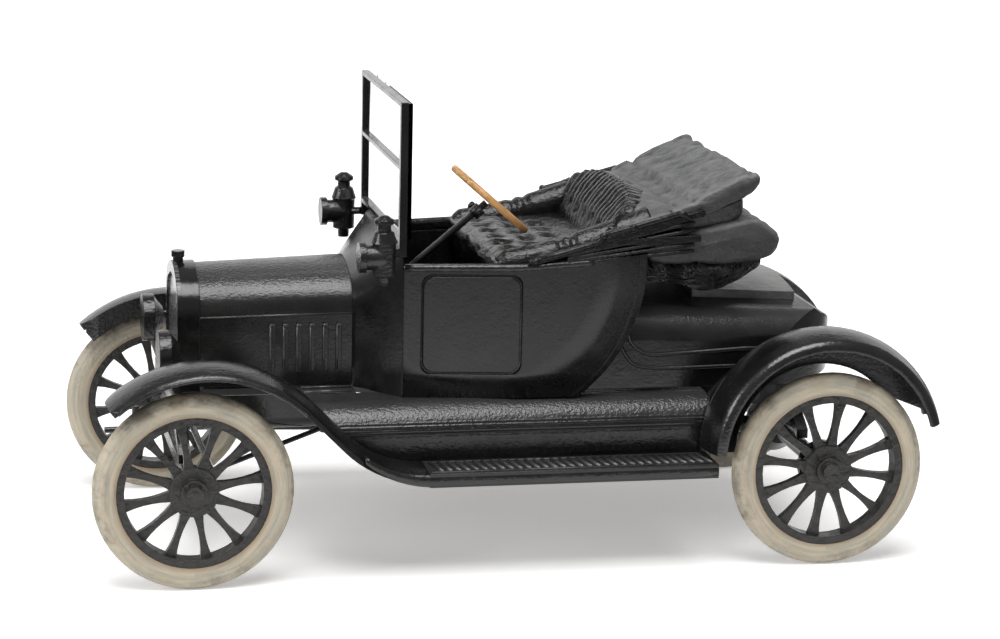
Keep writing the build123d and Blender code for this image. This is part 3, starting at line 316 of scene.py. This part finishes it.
def radiator_face(name, core_x):
    """Black shell with a fine grid of tubes and fins on the core."""
    look = Shader(name)
    spot = look.place()
    fins = look.bands(spot, 1.6, 0.3, "Y")
    rows = look.bands(spot, 2.4, 0.2, "Z")
    parts = look.parts(spot)
    x, y = parts[0], parts[1]
    narrow = look.math("LESS_THAN", look.math("ABSOLUTE", y), core_half_width)
    inside = look.math("MULTIPLY", narrow, look.math("GREATER_THAN", x, core_x))
    peel = look.noise(spot, 3.0, 3.0, 0.55)
    lattice = look.math("MULTIPLY_ADD", fins, 0.5, look.math("MULTIPLY", rows, 0.4))
    grid = look.math("MULTIPLY", inside, lattice)
    look.set(
        Base_Color=look.mix(grid, grey(0.005), grey(0.14)),
        Roughness=look.span(peel, 0.3, 0.7, 0.12, 0.26),
        Normal=look.bump(look.math("MULTIPLY_ADD", grid, 0.2, peel), 0.012, 1.0, 0.07),
    )
    return look.material


door_back_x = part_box("door_left")[0][0] / MM
sill_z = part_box("body_side_left")[0][2] / MM
# back curve of the body: way behind the door and height of three points on it
back_curve = [(door_back_x - way, z) for way, z in ((5.85, 14.30), (4.93, 10.20), (2.75, 7.70))]
back_centre, back_radius = circle(*back_curve)
ring_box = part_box("steering_wheel")
ring_centre = [(ring_box[0][i] + ring_box[1][i]) / 2 / MM for i in range(3)]
ring_lean = math.radians(49)
# inside of the steering wheel's ring, half of the radiator's core and pitch of the apron's cast lines
ring_inner = 1.9
core_half_width = 2.36
line_pitch = 0.17
# a grain value also paints the flat faces of a paint paler, a painted sheen
body_paint = gloss_black("body_paint", relief=0.007, grain=2.5)
bonnet_paint = gloss_black("bonnet_paint", relief=0.007, rough=0.18, level=0.50, grain=5.0)
wing_paint = gloss_black("wing_paint", rough=0.17, relief=0.016, level=0.66)
# the deck lid's black is painted pale, a painted reflection of the white backdrop on its top
lid_painted_reflection = gloss_black("lid_painted_reflection", dark=0.06, rough=0.28, relief=0.04, level=0.8)
iron_paint = gloss_black("iron_paint", dark=0.003, rough=0.18, relief=0.03, level=0.32)
lumpy_paint = gloss_black("lumpy_paint", dark=0.005, rough=0.14, relief=0.03, level=0.5)
panel_paint = gloss_black("panel_paint", relief=0.006, rough=0.20, panel=True)
seat_paint = gloss_black("seat_paint", dark=0.004, rough=0.16, relief=0.05, level=0.42)
# paler black for the tread ribs, the bonnet's hinge, the ledge edges and the louvre edges, a painted
# highlight on them
rib_painted_highlight = gloss_black("rib_painted_highlight", dark=0.025, rough=0.16, relief=0.02, level=0.6)
apron_paint = gloss_black("apron_paint", dark=0.003, relief=0.012, lines=1.3, grain=2.5)
wheel_paint = wheel_black("wheel_paint")
top_paint = top_grey("top_paint")
# node name starts, material
finishes = {
    "front_wheel": wheel_paint,
    "rear_wheel": wheel_paint,
    "folded_top": top_paint,
    "top_irons": iron_paint,
    "bonnet": bonnet_paint,
    "front_wing": wing_paint,
    "rear_wing": wing_paint,
    "deck_lid": lid_painted_reflection,
    "side_lamp": lumpy_paint,
    "headlamp": lumpy_paint,
    "steering_wheel": ring_tan("ring_paint", ring_centre, ring_lean, ring_inner),
    "windscreen_glass": clear_plate("clear_plate"),
    "radiator": radiator_face("radiator_paint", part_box("radiator")[1][0] / MM - 0.2),
    "seat_": lumpy_paint,
    "sill_apron": apron_paint,
    "body_side": panel_paint,
    "door": panel_paint,
    "rear_panel": panel_paint,
}
front_tyre_paint = tyre_paint("front_tyre_paint", front_axle_x / MM, front_radius / MM, 1.0)
rear_tyre_paint = tyre_paint("rear_tyre_paint", rear_axle_x / MM, rear_radius / MM, 0.2)
for name, piece in nodes.items():
    paint = body_paint
    for start, finish in finishes.items():
        if name.startswith(start) and name != "radiator_cap":
            paint = finish
    if "tyre" in name:
        paint = front_tyre_paint if name.startswith("front") else rear_tyre_paint
    piece.data.materials.clear()
    piece.data.materials.append(paint)


# Mesh helpers, all in millimetres
def make_piece(name, bm, paint):
    """Finished mesh that rides on the body."""
    bmesh.ops.scale(bm, vec=(MM, MM, MM), verts=bm.verts)
    bmesh.ops.recalc_face_normals(bm, faces=bm.faces)
    mesh = bpy.data.meshes.new(name)
    bm.to_mesh(mesh)
    bm.free()
    for face in mesh.polygons:
        face.use_smooth = True
    mesh.materials.append(paint)
    piece = bpy.data.objects.new(name, mesh)
    bpy.context.scene.collection.objects.link(piece)
    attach(piece, "body")
    return piece


def stitch(bm, rings, close=True):
    """Quads between neighbouring rings, each ring closed or open."""
    for low, high in zip(rings, rings[1:]):
        count = len(low) if close else len(low) - 1
        for i in range(count):
            j = (i + 1) % len(low)
            bm.faces.new((low[i], low[j], high[j], high[i]))


def skin(bm, rings):
    """Closed rings joined into a solid, its ends closed."""
    stitch(bm, rings)
    bm.faces.new(rings[0])
    bm.faces.new(rings[-1])


def tube(bm, points, radius, sides=8, side=(0, 1, 0)):
    """Round bar along points, its ends closed."""
    points = [Vector(spot) for spot in points]
    rings = []
    for i, point in enumerate(points):
        ahead = (points[min(i + 1, len(points) - 1)] - points[max(i - 1, 0)]).normalized()
        across = (Vector(side) - ahead * ahead.dot(Vector(side))).normalized()
        up = ahead.cross(across)
        ring = []
        for k in range(sides):
            turn = 2 * math.pi * k / sides
            ring.append(bm.verts.new(point + (across * math.cos(turn) + up * math.sin(turn)) * radius))
        rings.append(ring)
    skin(bm, rings)


def patch(bm, front, back, columns, rows):
    """Closed slab between two surfaces given over u and v from 0 to 1."""
    faces = []
    for surface in (front, back):
        grid = []
        for i in range(columns + 1):
            grid.append([bm.verts.new(surface(i / columns, j / rows)) for j in range(rows + 1)])
        faces.append(grid)
        stitch(bm, grid, close=False)
    near, far = faces
    for grid_a, grid_b in ((near[0], far[0]), (near[-1], far[-1])):
        stitch(bm, [grid_a, grid_b], close=False)
    for j in (0, -1):
        stitch(bm, [[line[j] for line in near], [line[j] for line in far]], close=False)


def rough_at(point, scale, seed=0.0):
    """Smooth noise between about -1 and 1 at a point."""
    return noise.noise(Vector(point) * scale + Vector((seed, seed * 1.7, -seed)))


def both_sides(name, build, paint):
    """A piece made on the left and its mirror twin on the right."""
    for side, sign in (("left", 1), ("right", -1)):
        bm = bmesh.new()
        build(bm)
        bmesh.ops.scale(bm, vec=(1, sign, 1), verts=bm.verts)
        make_piece(name + "_" + side, bm, paint)


def box_mm(node):
    """Lower and upper corner of a node's box."""
    low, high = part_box(node)
    return [c / MM for c in low], [c / MM for c in high]


def shifted(points, y):
    """Places read in x and z, moved to this car's front axle at one y."""
    return [(x + axle, y, z) for x, z in points]


def arc(centre_x, centre_z, radius, y, first, last, count):
    """Points on an arc in x and z, from and to a turn in degrees from upright."""
    points = []
    for i in range(count + 1):
        turn = math.radians(first + (last - first) * i / count)
        points.append((centre_x + radius * math.sin(turn), y, centre_z + radius * math.cos(turn)))
    return points


# Running board
def board_ribs(bm):
    """Slanted ribs of the tread between two fine strips."""
    low, high = box_mm("running_board_left")
    rib_count, end_gap = 32, 0.25
    length = high[0] - low[0] - 2 * end_gap
    for number in range(rib_count):
        x = low[0] + end_gap + length * (number + 0.5) / rib_count
        start = (x + 0.14, low[1] + 0.45, high[2] + 0.03)
        end = (x - 0.20, high[1] - 0.35, high[2] + 0.03)
        tube(bm, [start, end], 0.085, 6, (0, 0, 1))
    for y in (low[1] + 0.38, high[1] - 0.28):
        tube(bm, [(low[0] + 0.1, y, high[2] + 0.02), (high[0] - 0.1, y, high[2] + 0.02)], 0.04, 6)


def board_lip(bm):
    """Rounded outer lip of the running board that runs out along the foot of the front wing."""
    low, high = box_mm("running_board_left")
    foot_radius, reach, half_width = 5.0, 2.9, 0.16
    level_steps, rising_steps, sides = 10, 12, 12
    rings = []
    for i in range(level_steps + rising_steps + 1):
        t = max(0.0, (i - level_steps) / rising_steps)
        x = high[0] + reach * t
        if i <= level_steps:
            x = low[0] + (high[0] - low[0]) * i / level_steps
        lift = foot_radius - math.sqrt(foot_radius * foot_radius - (reach * t) ** 2)
        top_z, low_z = high[2] + lift - 0.02, low[2] + lift + 0.18 * t
        middle, tall = (top_z + low_z) / 2, (top_z - low_z) / 2
        ring = []
        for k in range(sides):
            turn = 2 * math.pi * k / sides
            y = high[1] - 0.12 + half_width * math.cos(turn)
            ring.append(bm.verts.new((x, y, middle + tall * math.sin(turn))))
        rings.append(ring)
    skin(bm, rings)


# the tread ribs go in the paler paint of a painted highlight
both_sides("board_ribs", board_ribs, rib_painted_highlight)
both_sides("board_lip", board_lip, lumpy_paint)


# Seat
# how far the cushion runs on under the pleats, and the height of the seat back's top
under_back = 0.9
back_top_z = 16.62


def seat_cushion():
    """Cast cushion with rows of buttons in dimples, its front face crinkled."""
    low, high = box_mm("seat_cushion")
    rear_x = low[0] - under_back
    bm = bmesh.new()
    buttons = []
    for row in range(3):
        for number in range(7):
            across = low[1] + (high[1] - low[1]) * (number + 0.5 + 0.25 * (row % 2)) / 7.4
            buttons.append((high[0] - 0.9 - 1.35 * row + 0.15 * rough_at((number, row, 0), 1.3), across))

    def top(u, v):
        x = high[0] + (rear_x - high[0]) * u
        y = low[1] + (high[1] - low[1]) * v
        edge = min(1.0, u / 0.12) ** 0.5 * min(1.0, min(v, 1 - v) / 0.05) ** 0.5
        near = min(math.dist((x, y), button) for button in buttons)
        dimple = 0.30 * math.exp(-((near / 0.42) ** 2)) - 0.20 * math.exp(-((near / 0.15) ** 4))
        z = high[2] - 0.45 + 0.42 * edge - dimple * edge
        z += 0.10 * rough_at((x, y, 0), 0.8) + 0.06 * rough_at((x, y, 0), 2.3, 2)
        return (x - 0.12 * (1 - edge), y, z)

    def under(u, v):
        x = high[0] + (rear_x - high[0]) * u
        return (x, low[1] + (high[1] - low[1]) * v, low[2])

    def face(u, v):
        y = low[1] + (high[1] - low[1]) * v
        z = low[2] + (high[2] - 0.35 - low[2]) * u
        swell = 0.16 * math.sin(math.pi * u) ** 0.5
        return (high[0] - 0.15 + swell + 0.09 * rough_at((0, y * 0.5, z * 1.6), 1.6, 5), y, z)

    def behind(u, v):
        x, y, z = face(u, v)
        return (high[0] - 0.5, y, z)

    patch(bm, top, under, 64, 150)
    patch(bm, face, behind, 14, 150)
    piece = make_piece("seat_cushion_tufts", bm, seat_paint)
    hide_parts("seat_cushion")


def back_edge(v):
    """Top edge of the seat back, wrapped forward and down at its ends, in x, y and z."""
    low, high = box_mm("seat_back")
    turn = abs(2 * v - 1)
    x = low[0] + 0.55 + 1.5 * turn ** 5
    return x, low[1] + (high[1] - low[1]) * v, back_top_z - 0.25 * turn ** 2 - 1.0 * turn ** 6


def seat_back():
    """Pleated seat back that leans to the rear, its pleats fanned out at the ends."""
    foot = (box_mm("seat_back")[1][0] - under_back, box_mm("seat_cushion")[1][2] - 0.30)
    pleat_pitch, button_pitch = 0.52, 1.38
    bm = bmesh.new()

    def front(u, v):
        top_x, y, top_z = back_edge(v)
        x = foot[0] + (top_x - foot[0]) * u
        z = foot[1] + (top_z - foot[1]) * u
        fan = y * (1 - 0.12 * u) + 0.35 * u
        pleat = abs(math.sin(math.pi * fan / pleat_pitch)) ** 0.6 * 0.20 * min(1.0, u * 2.2)
        roll = 0.34 * math.sin(math.pi * min(1.0, 0.08 + u * 0.95)) ** 0.6
        row = max(0.0, 1 - abs(u - 0.30) / 0.10)
        button = 0.20 * row * (math.cos(math.pi * fan / button_pitch) ** 4)
        lift = pleat + roll - button + 0.07 * rough_at((x, y, z), 1.3, 3)
        return (x + lift * 0.7, y, z + lift * 0.65)

    def rear(u, v):
        top_x, y, top_z = back_edge(v)
        return (foot[0] - 0.75 + (top_x - foot[0]) * u, y, foot[1] + (top_z - foot[1]) * u - 0.1 * u)

    patch(bm, front, rear, 40, 200)
    piece = make_piece("seat_back_pleats", bm, seat_paint)
    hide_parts("seat_back")


def arm_roll(bm):
    """Padded roll along the body rail beside the seat."""
    low, high = box_mm("seat_back")
    front_x, rear_x = 0.9, low[0] + 0.2
    stations, sides = 64, 14
    rings = []
    for i in range(stations + 1):
        t = i / stations
        x = front_x + (rear_x - front_x) * t
        middle = Vector((x, high[1] - 0.40 - 0.25 * t, 13.75 + 1.75 * t ** 1.5))
        straps = sum(math.exp(-(((t - strap) / 0.02) ** 2)) for strap in (0.42, 0.50))
        radius = (0.62 + 0.16 * t) * (1 - 0.16 * straps) * min(1.0, (t + 0.02) / 0.08) ** 0.5
        ring = []
        for k in range(sides):
            turn = 2 * math.pi * k / sides
            offset = Vector((0.25 * math.cos(turn), math.sin(turn), math.cos(turn))) * radius
            ring.append(bm.verts.new(middle + offset))
        rings.append(ring)
    skin(bm, rings)


seat_cushion()
seat_back()
both_sides("seat_arm_roll", arm_roll, seat_paint)


# Folded top
def soften(points, times=3):
    """Closed outline with its corners cut again and again."""
    for _ in range(times):
        cut = []
        for a, b in zip(points, points[1:] + points[:1]):
            cut.append((0.75 * a[0] + 0.25 * b[0], 0.75 * a[1] + 0.25 * b[1]))
            cut.append((0.25 * a[0] + 0.75 * b[0], 0.25 * a[1] + 0.75 * b[1]))
        points = cut
    return points


def fold(bm, outline, half, seed, ridge=0.10, dent=None, end_round=0.30):
    """One fold of cloth across the car: an outline in x and z, rounded at both ends and creased."""
    loop = soften([(x + axle, z) for x, z in outline])
    count, stations = len(loop), 60
    rings = []
    for j in range(stations + 1):
        v = 2 * j / stations - 1
        y = half * math.copysign(1 - (1 - abs(v)) ** 1.35, v)
        into = max(0.0, abs(y) - (half - end_round)) / end_round
        inset = end_round * (1 - math.sqrt(max(0.0, 1 - into * into)))
        ring = []
        for i, (x, z) in enumerate(loop):
            ahead, back = loop[(i + 1) % count], loop[i - 1]
            along = Vector((ahead[0] - back[0], 0, ahead[1] - back[1])).normalized()
            out = Vector((along.z, 0, -along.x))
            point = Vector((x, y, z))
            wave = ridge * rough_at(point, 0.7, seed) + 0.6 * ridge * rough_at(point, 1.9, seed + 4)
            wave += 0.25 * ridge * rough_at(point, 4.5, seed + 7)
            if dent:
                wave += dent(x - axle, y, z)
            ring.append(bm.verts.new(point + out * (wave - inset)))
        rings.append(ring)
    skin(bm, rings)


def folded_top():
    """Cast cloth: the upper slab on its neck, the full fold below and the part that hangs to the deck."""
    slab = [
        (-7.50, 16.05), (-7.70, 16.32), (-9.60, 17.12), (-11.25, 17.90), (-11.60, 17.72), (-11.55, 17.20),
        (-10.95, 16.75), (-9.60, 16.18), (-8.30, 15.50), (-7.60, 15.55),
    ]
    neck = [(-7.80, 15.90), (-10.90, 17.00), (-11.15, 16.50), (-11.00, 15.50), (-9.00, 15.10), (-7.80, 15.10)]
    full = [
        (-6.55, 14.35), (-8.80, 15.30), (-10.10, 15.52), (-11.20, 15.75), (-12.00, 15.60), (-12.70, 15.10),
        (-12.85, 14.50), (-12.35, 13.90), (-10.80, 13.62), (-9.00, 13.64), (-7.00, 13.70), (-6.45, 13.95),
    ]
    hanging = [
        (-6.10, 13.75), (-6.35, 13.05), (-7.20, 13.10), (-8.42, 12.90), (-9.19, 12.60), (-9.93, 12.66),
        (-10.85, 13.08), (-12.10, 13.80), (-10.00, 14.20), (-7.50, 14.30), (-6.30, 14.30),
    ]
    bm = bmesh.new()

    def step(x, y, z):
        """Step behind the slab's front strip and a few wandering creases on its top."""
        if z < 15.9 + 0.36 * (-7.6 - x):
            return 0.0
        edge = -8.45 + 0.25 * rough_at((y, 0, 0), 0.5, 2)
        strip = -0.32 / (1 + math.exp(-(x - edge) / 0.06)) * max(0.0, 1 - (abs(y) / 5.3) ** 8)
        valley = -0.30 * math.exp(-(((x - edge + 0.05) / 0.14) ** 2))
        valley *= 0.4 + 0.6 * math.cos(y * 0.35 - 0.3) ** 2
        crease = -0.08 * math.exp(-((rough_at((x, y, 0), 0.45, 5) / 0.07) ** 2))
        hem = 0.07 * math.exp(-(((abs(y) - 5.75) / 0.12) ** 2))
        groove = -0.05 * math.exp(-(((abs(y) - 5.45) / 0.10) ** 2))
        return strip + valley + crease + hem + groove

    fold(bm, slab, 6.0, 0.0, 0.07, step, 0.12)
    fold(bm, neck, 5.45, 2.0, 0.08)
    fold(bm, full, 5.72, 3.0, 0.10)
    fold(bm, hanging, 5.25, 6.0, 0.08)

    def flap(u, v):
        """Cloth between the seat back and the upper slab."""
        x, y, z = back_edge(v)
        to_x = -8.0 + axle
        lift = 0.12 * math.sin(math.pi * u) + 0.10 * rough_at((x, y, u), 0.9, 9)
        return (x - 0.25 + (to_x - x + 0.25) * u, y * 1.04, z - 0.08 + (16.2 - z) * u + lift)

    def flap_under(u, v):
        x, y, z = flap(u, v)
        return (x, y, z - 0.35)

    patch(bm, flap, flap_under, 16, 60)
    piece = make_piece("folded_top_cloth", bm, top_paint)
    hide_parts("folded_top")


folded_top()


def iron_ribs(bm):
    """Irons of the top laid together: a stepped upper one with a boss, and five more fanned out below it."""
    y = box_mm("top_irons_left")[1][1] - 0.10
    upper = [(-0.80, 13.98), (-2.22, 14.35), (-3.95, 14.83), (-4.28, 15.18), (-7.79, 16.13), (-8.31, 15.88)]
    tube(bm, shifted(upper, y + 0.04), 0.14, 8)
    # height at the front and the back end of each
    for start, end in ((14.42, 15.72), (14.28, 15.38), (14.12, 15.02), (13.98, 14.70), (13.86, 14.40)):
        points = []
        for i in range(9):
            t = i / 8
            wander = 0.05 * rough_at((t, start, 0), 5.0)
            points.append((-2.6 - 5.9 * t + axle, y + wander, start + (end - start) * t))
        tube(bm, points, 0.10, 6)
    # rivets along the upper iron
    for x, y, z in shifted(((-1.1, 14.05), (-4.23, 15.16), (-5.6, 15.52), (-7.9, 16.1)), y):
        tube(bm, [(x, y, z), (x, y + 0.28, z)], 0.17, 8, (1, 0, 0))


both_sides("iron_ribs", iron_ribs, iron_paint)


def steering_levers():
    """Collar on the steering column with two short levers, each with a knob."""
    low, high = box_mm("steering_column")
    hub = Vector((low[0] + 0.16, (low[1] + high[1]) / 2, high[2] - 0.2))
    column_lean = math.radians(40)
    down = Vector((math.cos(column_lean), 0, -math.sin(column_lean)))
    bm = bmesh.new()
    tube(bm, [hub + down * 0.25, hub + down * 0.75], 0.30, 10)
    for side in (1, -1):
        root = hub + down * 0.45
        tip = root + Vector((0.05, side * 0.62, 0.05))
        tube(bm, [root, tip], 0.11, 6, (0, 0, 1))
        tube(bm, [tip, tip + Vector((0.12, side * 0.16, 0.10))], 0.19, 8, (0, 0, 1))
    make_piece("steering_levers", bm, lumpy_paint)


steering_levers()


# Mouldings
def deck_moulding(bm):
    """Two raised beads round the flat of the deck's side."""
    y = box_mm("rear_deck")[1][1] + 0.01
    inner = [
        (-6.02, 11.75), (-5.75, 11.2), (-5.69, 10.52), (-5.8, 10.1), (-6.09, 9.75), (-6.5, 9.5),
        (-6.91, 9.40), (-9, 9.5), (-11.3, 9.62), (-13.2, 9.62),
    ]
    outer = [
        (-5.30, 10.3), (-5.35, 9.9), (-5.6, 9.45), (-5.85, 9.1), (-6.21, 8.90), (-7.0, 8.78), (-7.93, 8.76),
        (-10.5, 8.8), (-13.2, 8.8),
    ]
    for line in (inner, outer):
        tube(bm, shifted(line, y), 0.10, 6)


both_sides("deck_moulding", deck_moulding, body_paint)


def wing_beads(bm):
    """Rounded beads along the lips of both wings."""
    y = box_mm("rear_wing_left")[1][1] - 0.10
    tube(bm, arc(rear_axle_x / MM + 0.16, 5.34, 5.00, y, -75, 85, 40), 0.10, 8)
    tube(bm, arc(front_axle_x / MM - 0.63, 3.51, 6.20, y, 40, -44, 30), 0.09, 8)


def hinge_lines(bm):
    """Long hinge of the bonnet's side leaf and the edge of the ledge below it, both painted paler as a
    painted highlight.
    """
    low, high = box_mm("bonnet")
    tube(bm, [(high[0], 2.68, 10.98), (low[0], 3.12, 11.18)], 0.05, 6)
    for y, z, radius in ((4.30, 7.78, 0.08), (3.50, 7.80, 0.06)):
        tube(bm, [(low[0] + 2.4, y, z), (low[0] + 0.1, y, z)], radius, 6)


def louvre_edges(bm):
    """Rounded front edge and top of each louvre in the bonnet's side, painted paler as a painted highlight.
    """
    mesh = nodes["bonnet"].data
    tree = BVHTree.FromPolygons([v.co for v in mesh.vertices], [f.vertices[:] for f in mesh.polygons])
    rear_x = box_mm("bonnet")[0][0]
    louvre_count, louvre_pitch, rear_gap = 6, 0.61, 0.66
    for number in range(louvre_count):
        x = rear_x + rear_gap + louvre_pitch * number
        points = []
        for z in (8.50, 9.2, 9.9, 10.60):
            hit = tree.ray_cast(Vector((x * MM, 0.02, z * MM)), Vector((0, -1, 0)))[0]
            points.append((x + 0.05, hit.y / MM, z))
        tube(bm, points, 0.055, 8)
        tube(bm, [points[-1], (x - 0.02, points[-1][1], 10.64)], 0.10, 8, (0, 0, 1))


def groove_floor(bm):
    """Strip just under the skin that closes the gap round the door."""
    low, high = box_mm("door_left")
    corner_round, door_wall = 0.50, 0.36
    lean = (high[1] - low[1] - door_wall) / (high[0] - low[0])
    rear_x, front_x = low[0] + corner_round, high[0] - corner_round
    low_z, top_z = low[2] + corner_round, high[2] - corner_round

    def loop(grow, depth):
        points = []
        r = corner_round + grow
        # centre of each rounded corner and the turn at which it starts
        corners = ((rear_x, low_z, 180), (front_x, low_z, 270), (front_x, top_z, 0), (rear_x, top_z, 90))
        for cx, cz, start in corners:
            for k in range(7):
                turn = math.radians(start + 15 * k)
                x, z = cx + r * math.cos(turn), cz + r * math.sin(turn)
                points.append(bm.verts.new((x, high[1] - (x - low[0]) * lean - depth, z)))
        return points

    rings = [loop(-0.06, 0.07), loop(0.18, 0.07), loop(0.18, 0.25), loop(-0.06, 0.25)]
    stitch(bm, rings + rings[:1])


def rail_bead(bm):
    """Rounded bead along the body's upper edge beside the door."""
    front = (box_mm("body_side_left")[1][0] - 0.05, 5.36, 13.66)
    middle = (door_back_x, 6.11, 13.72)
    rear = (door_back_x - 3.4, 6.16, 13.92)
    points = []
    for i in range(25):
        t = i / 24 * 2
        a, b, share = (front, middle, t) if t <= 1 else (middle, rear, t - 1)
        points.append([a[k] + (b[k] - a[k]) * share for k in range(3)])
    tube(bm, points, 0.19, 10)


both_sides("rail_bead", rail_bead, lumpy_paint)
both_sides("wing_beads", wing_beads, lumpy_paint)
both_sides("bonnet_hinge", hinge_lines, rib_painted_highlight)
both_sides("louvre_edges", louvre_edges, rib_painted_highlight)
both_sides("door_groove", groove_floor, body_paint)


# Studio
def softbox(name, place, aim, size, power):
    """Area light at a place in millimetres, aimed at a point."""
    data = bpy.data.lights.new(name, "AREA")
    data.shape = "RECTANGLE"
    data.size, data.size_y = size[0] * MM, size[1] * MM
    data.energy = power
    lamp = bpy.data.objects.new(name, data)
    bpy.context.scene.collection.objects.link(lamp)
    lamp.location = Vector(place) * MM
    lamp.rotation_euler = (Vector(aim) * MM - lamp.location).to_track_quat("-Z", "Y").to_euler()


def stage_plate(name, corners, material):
    """Flat plate of the studio, in metres."""
    mesh = bpy.data.meshes.new(name)
    bm = bmesh.new()
    bm.faces.new([bm.verts.new(corner) for corner in corners])
    bm.to_mesh(mesh)
    bm.free()
    mesh.materials.append(material)
    plate = bpy.data.objects.new(name, mesh)
    bpy.context.scene.collection.objects.link(plate)


def backdrop():
    """White wall behind the car, seen by the camera and in the paint but giving little light."""
    look = Shader("backdrop_paper")
    seen = look.seen(look.add("ShaderNodeLightPath").outputs)
    look.set(
        Base_Color=look.mix(look.noise(look.place(), 0.02, 2.0, 0.5), grey(0.29), grey(0.31)),
        Roughness=0.9,
        Emission_Color=(1, 1, 1, 1),
        Emission_Strength=look.math("MULTIPLY_ADD", seen, 0.9, 0.12),
    )
    corners = [(x, -0.45, z) for x, z in ((-0.6, -0.01), (0.6, -0.01), (0.6, 0.42), (-0.6, 0.42))]
    stage_plate("backdrop", corners, look.material)


def floor():
    """Pale floor that shows white away from the car; to glossy rays its parts further out, ahead, behind and
    on the near side, are painted black, a painted dark reflection in the paint of the near side.
    """
    look = Shader("floor_paper")
    spot = look.place()
    grain = look.noise(spot, 0.05, 3.0, 0.5)
    path = look.add("ShaderNodeLightPath").outputs
    parts = look.parts(spot)
    x, y = parts[0], parts[1]
    near = look.add("ShaderNodeCombineXYZ", {0: x, 1: look.math("MAXIMUM", y, 0.0)}).outputs[0]
    # painted dark reflection: the floor goes black to glossy rays beyond about 40 to 50 mm
    painted_dark_reflection = look.math("MULTIPLY", path["Is Glossy Ray"], look.span(look.length(near), 38, 52, 0.0, 0.9))
    glow = look.math("MULTIPLY", look.seen(path), look.span(look.length(spot), 40, 140, 0.36, 1.0))
    look.set(
        Base_Color=look.mix(painted_dark_reflection, look.mix(grain, grey(0.91), grey(0.94)), grey(0.0)),
        Roughness=0.9,
        Normal=look.bump(grain, 0.02),
        Emission_Color=(1.0, 0.985, 0.97, 1),
        Emission_Strength=look.math("MULTIPLY", glow, look.math("SUBTRACT", 1.0, painted_dark_reflection)),
    )
    look.surface.inputs["Specular IOR Level"].default_value = 0.0
    stage_plate("floor", [(-1.5, -1.5, 0), (1.5, -1.5, 0), (1.5, 1.5, 0), (-1.5, 1.5, 0)], look.material)


def room():
    """Dim room that shows white to the camera and through glass."""
    world = bpy.data.worlds.new("studio")
    bpy.context.scene.world = world
    world.use_nodes = True
    tree = world.node_tree
    tree.nodes.clear()
    path = tree.nodes.new("ShaderNodeLightPath")
    clear = tree.nodes.new("ShaderNodeMath")
    clear.operation = "MAXIMUM"
    for socket, ray in enumerate(("Is Camera Ray", "Is Transmission Ray")):
        tree.links.new(path.outputs[ray], clear.inputs[socket])
    mix = tree.nodes.new("ShaderNodeMixShader")
    tree.links.new(clear.outputs[0], mix.inputs[0])
    for socket, strength in ((1, 0.30), (2, 1.0)):
        shade = tree.nodes.new("ShaderNodeBackground")
        shade.inputs[0].default_value = (1, 1, 1, 1)
        shade.inputs[1].default_value = strength
        tree.links.new(shade.outputs[0], mix.inputs[socket])
    out = tree.nodes.new("ShaderNodeOutputWorld")
    tree.links.new(mix.outputs[0], out.inputs[0])


floor()
backdrop()
room()
softbox("overhead", (15, 85, 240), (0, 0, 8), (150, 180), 0.68)
softbox("ahead", (240, 70, 110), (5, 0, 10), (90, 90), 0.25)


# Camera fitted to the photograph
def camera():
    """Camera in the photograph's place, tied to the front axle."""
    data = bpy.data.cameras.new("camera")
    eye = bpy.data.objects.new("camera", data)
    bpy.context.scene.collection.objects.link(eye)
    bpy.context.scene.camera = eye
    yaw, pitch, roll = (math.radians(a) for a in (12.121, 12.329, 1.299))
    flat = math.cos(pitch)
    ahead = Vector((-math.sin(yaw) * flat, -math.cos(yaw) * flat, -math.sin(pitch)))
    level = Vector((-math.cos(yaw), math.sin(yaw), 0))
    upright = level.cross(ahead)
    right = level * math.cos(roll) + upright * math.sin(roll)
    up = -level * math.sin(roll) + upright * math.cos(roll)
    turn = Matrix((right, up, -ahead)).transposed().to_4x4()
    place = Vector((13.199 + front_axle_x / MM, 133.395, 39.816)) * MM
    eye.matrix_world = Matrix.Translation(place) @ turn
    data.sensor_width = 36
    data.lens = 105.93
    data.clip_start, data.clip_end = 0.005, 20
    data.dof.use_dof = False


camera()
bpy.context.scene.view_settings.view_transform = "Standard"
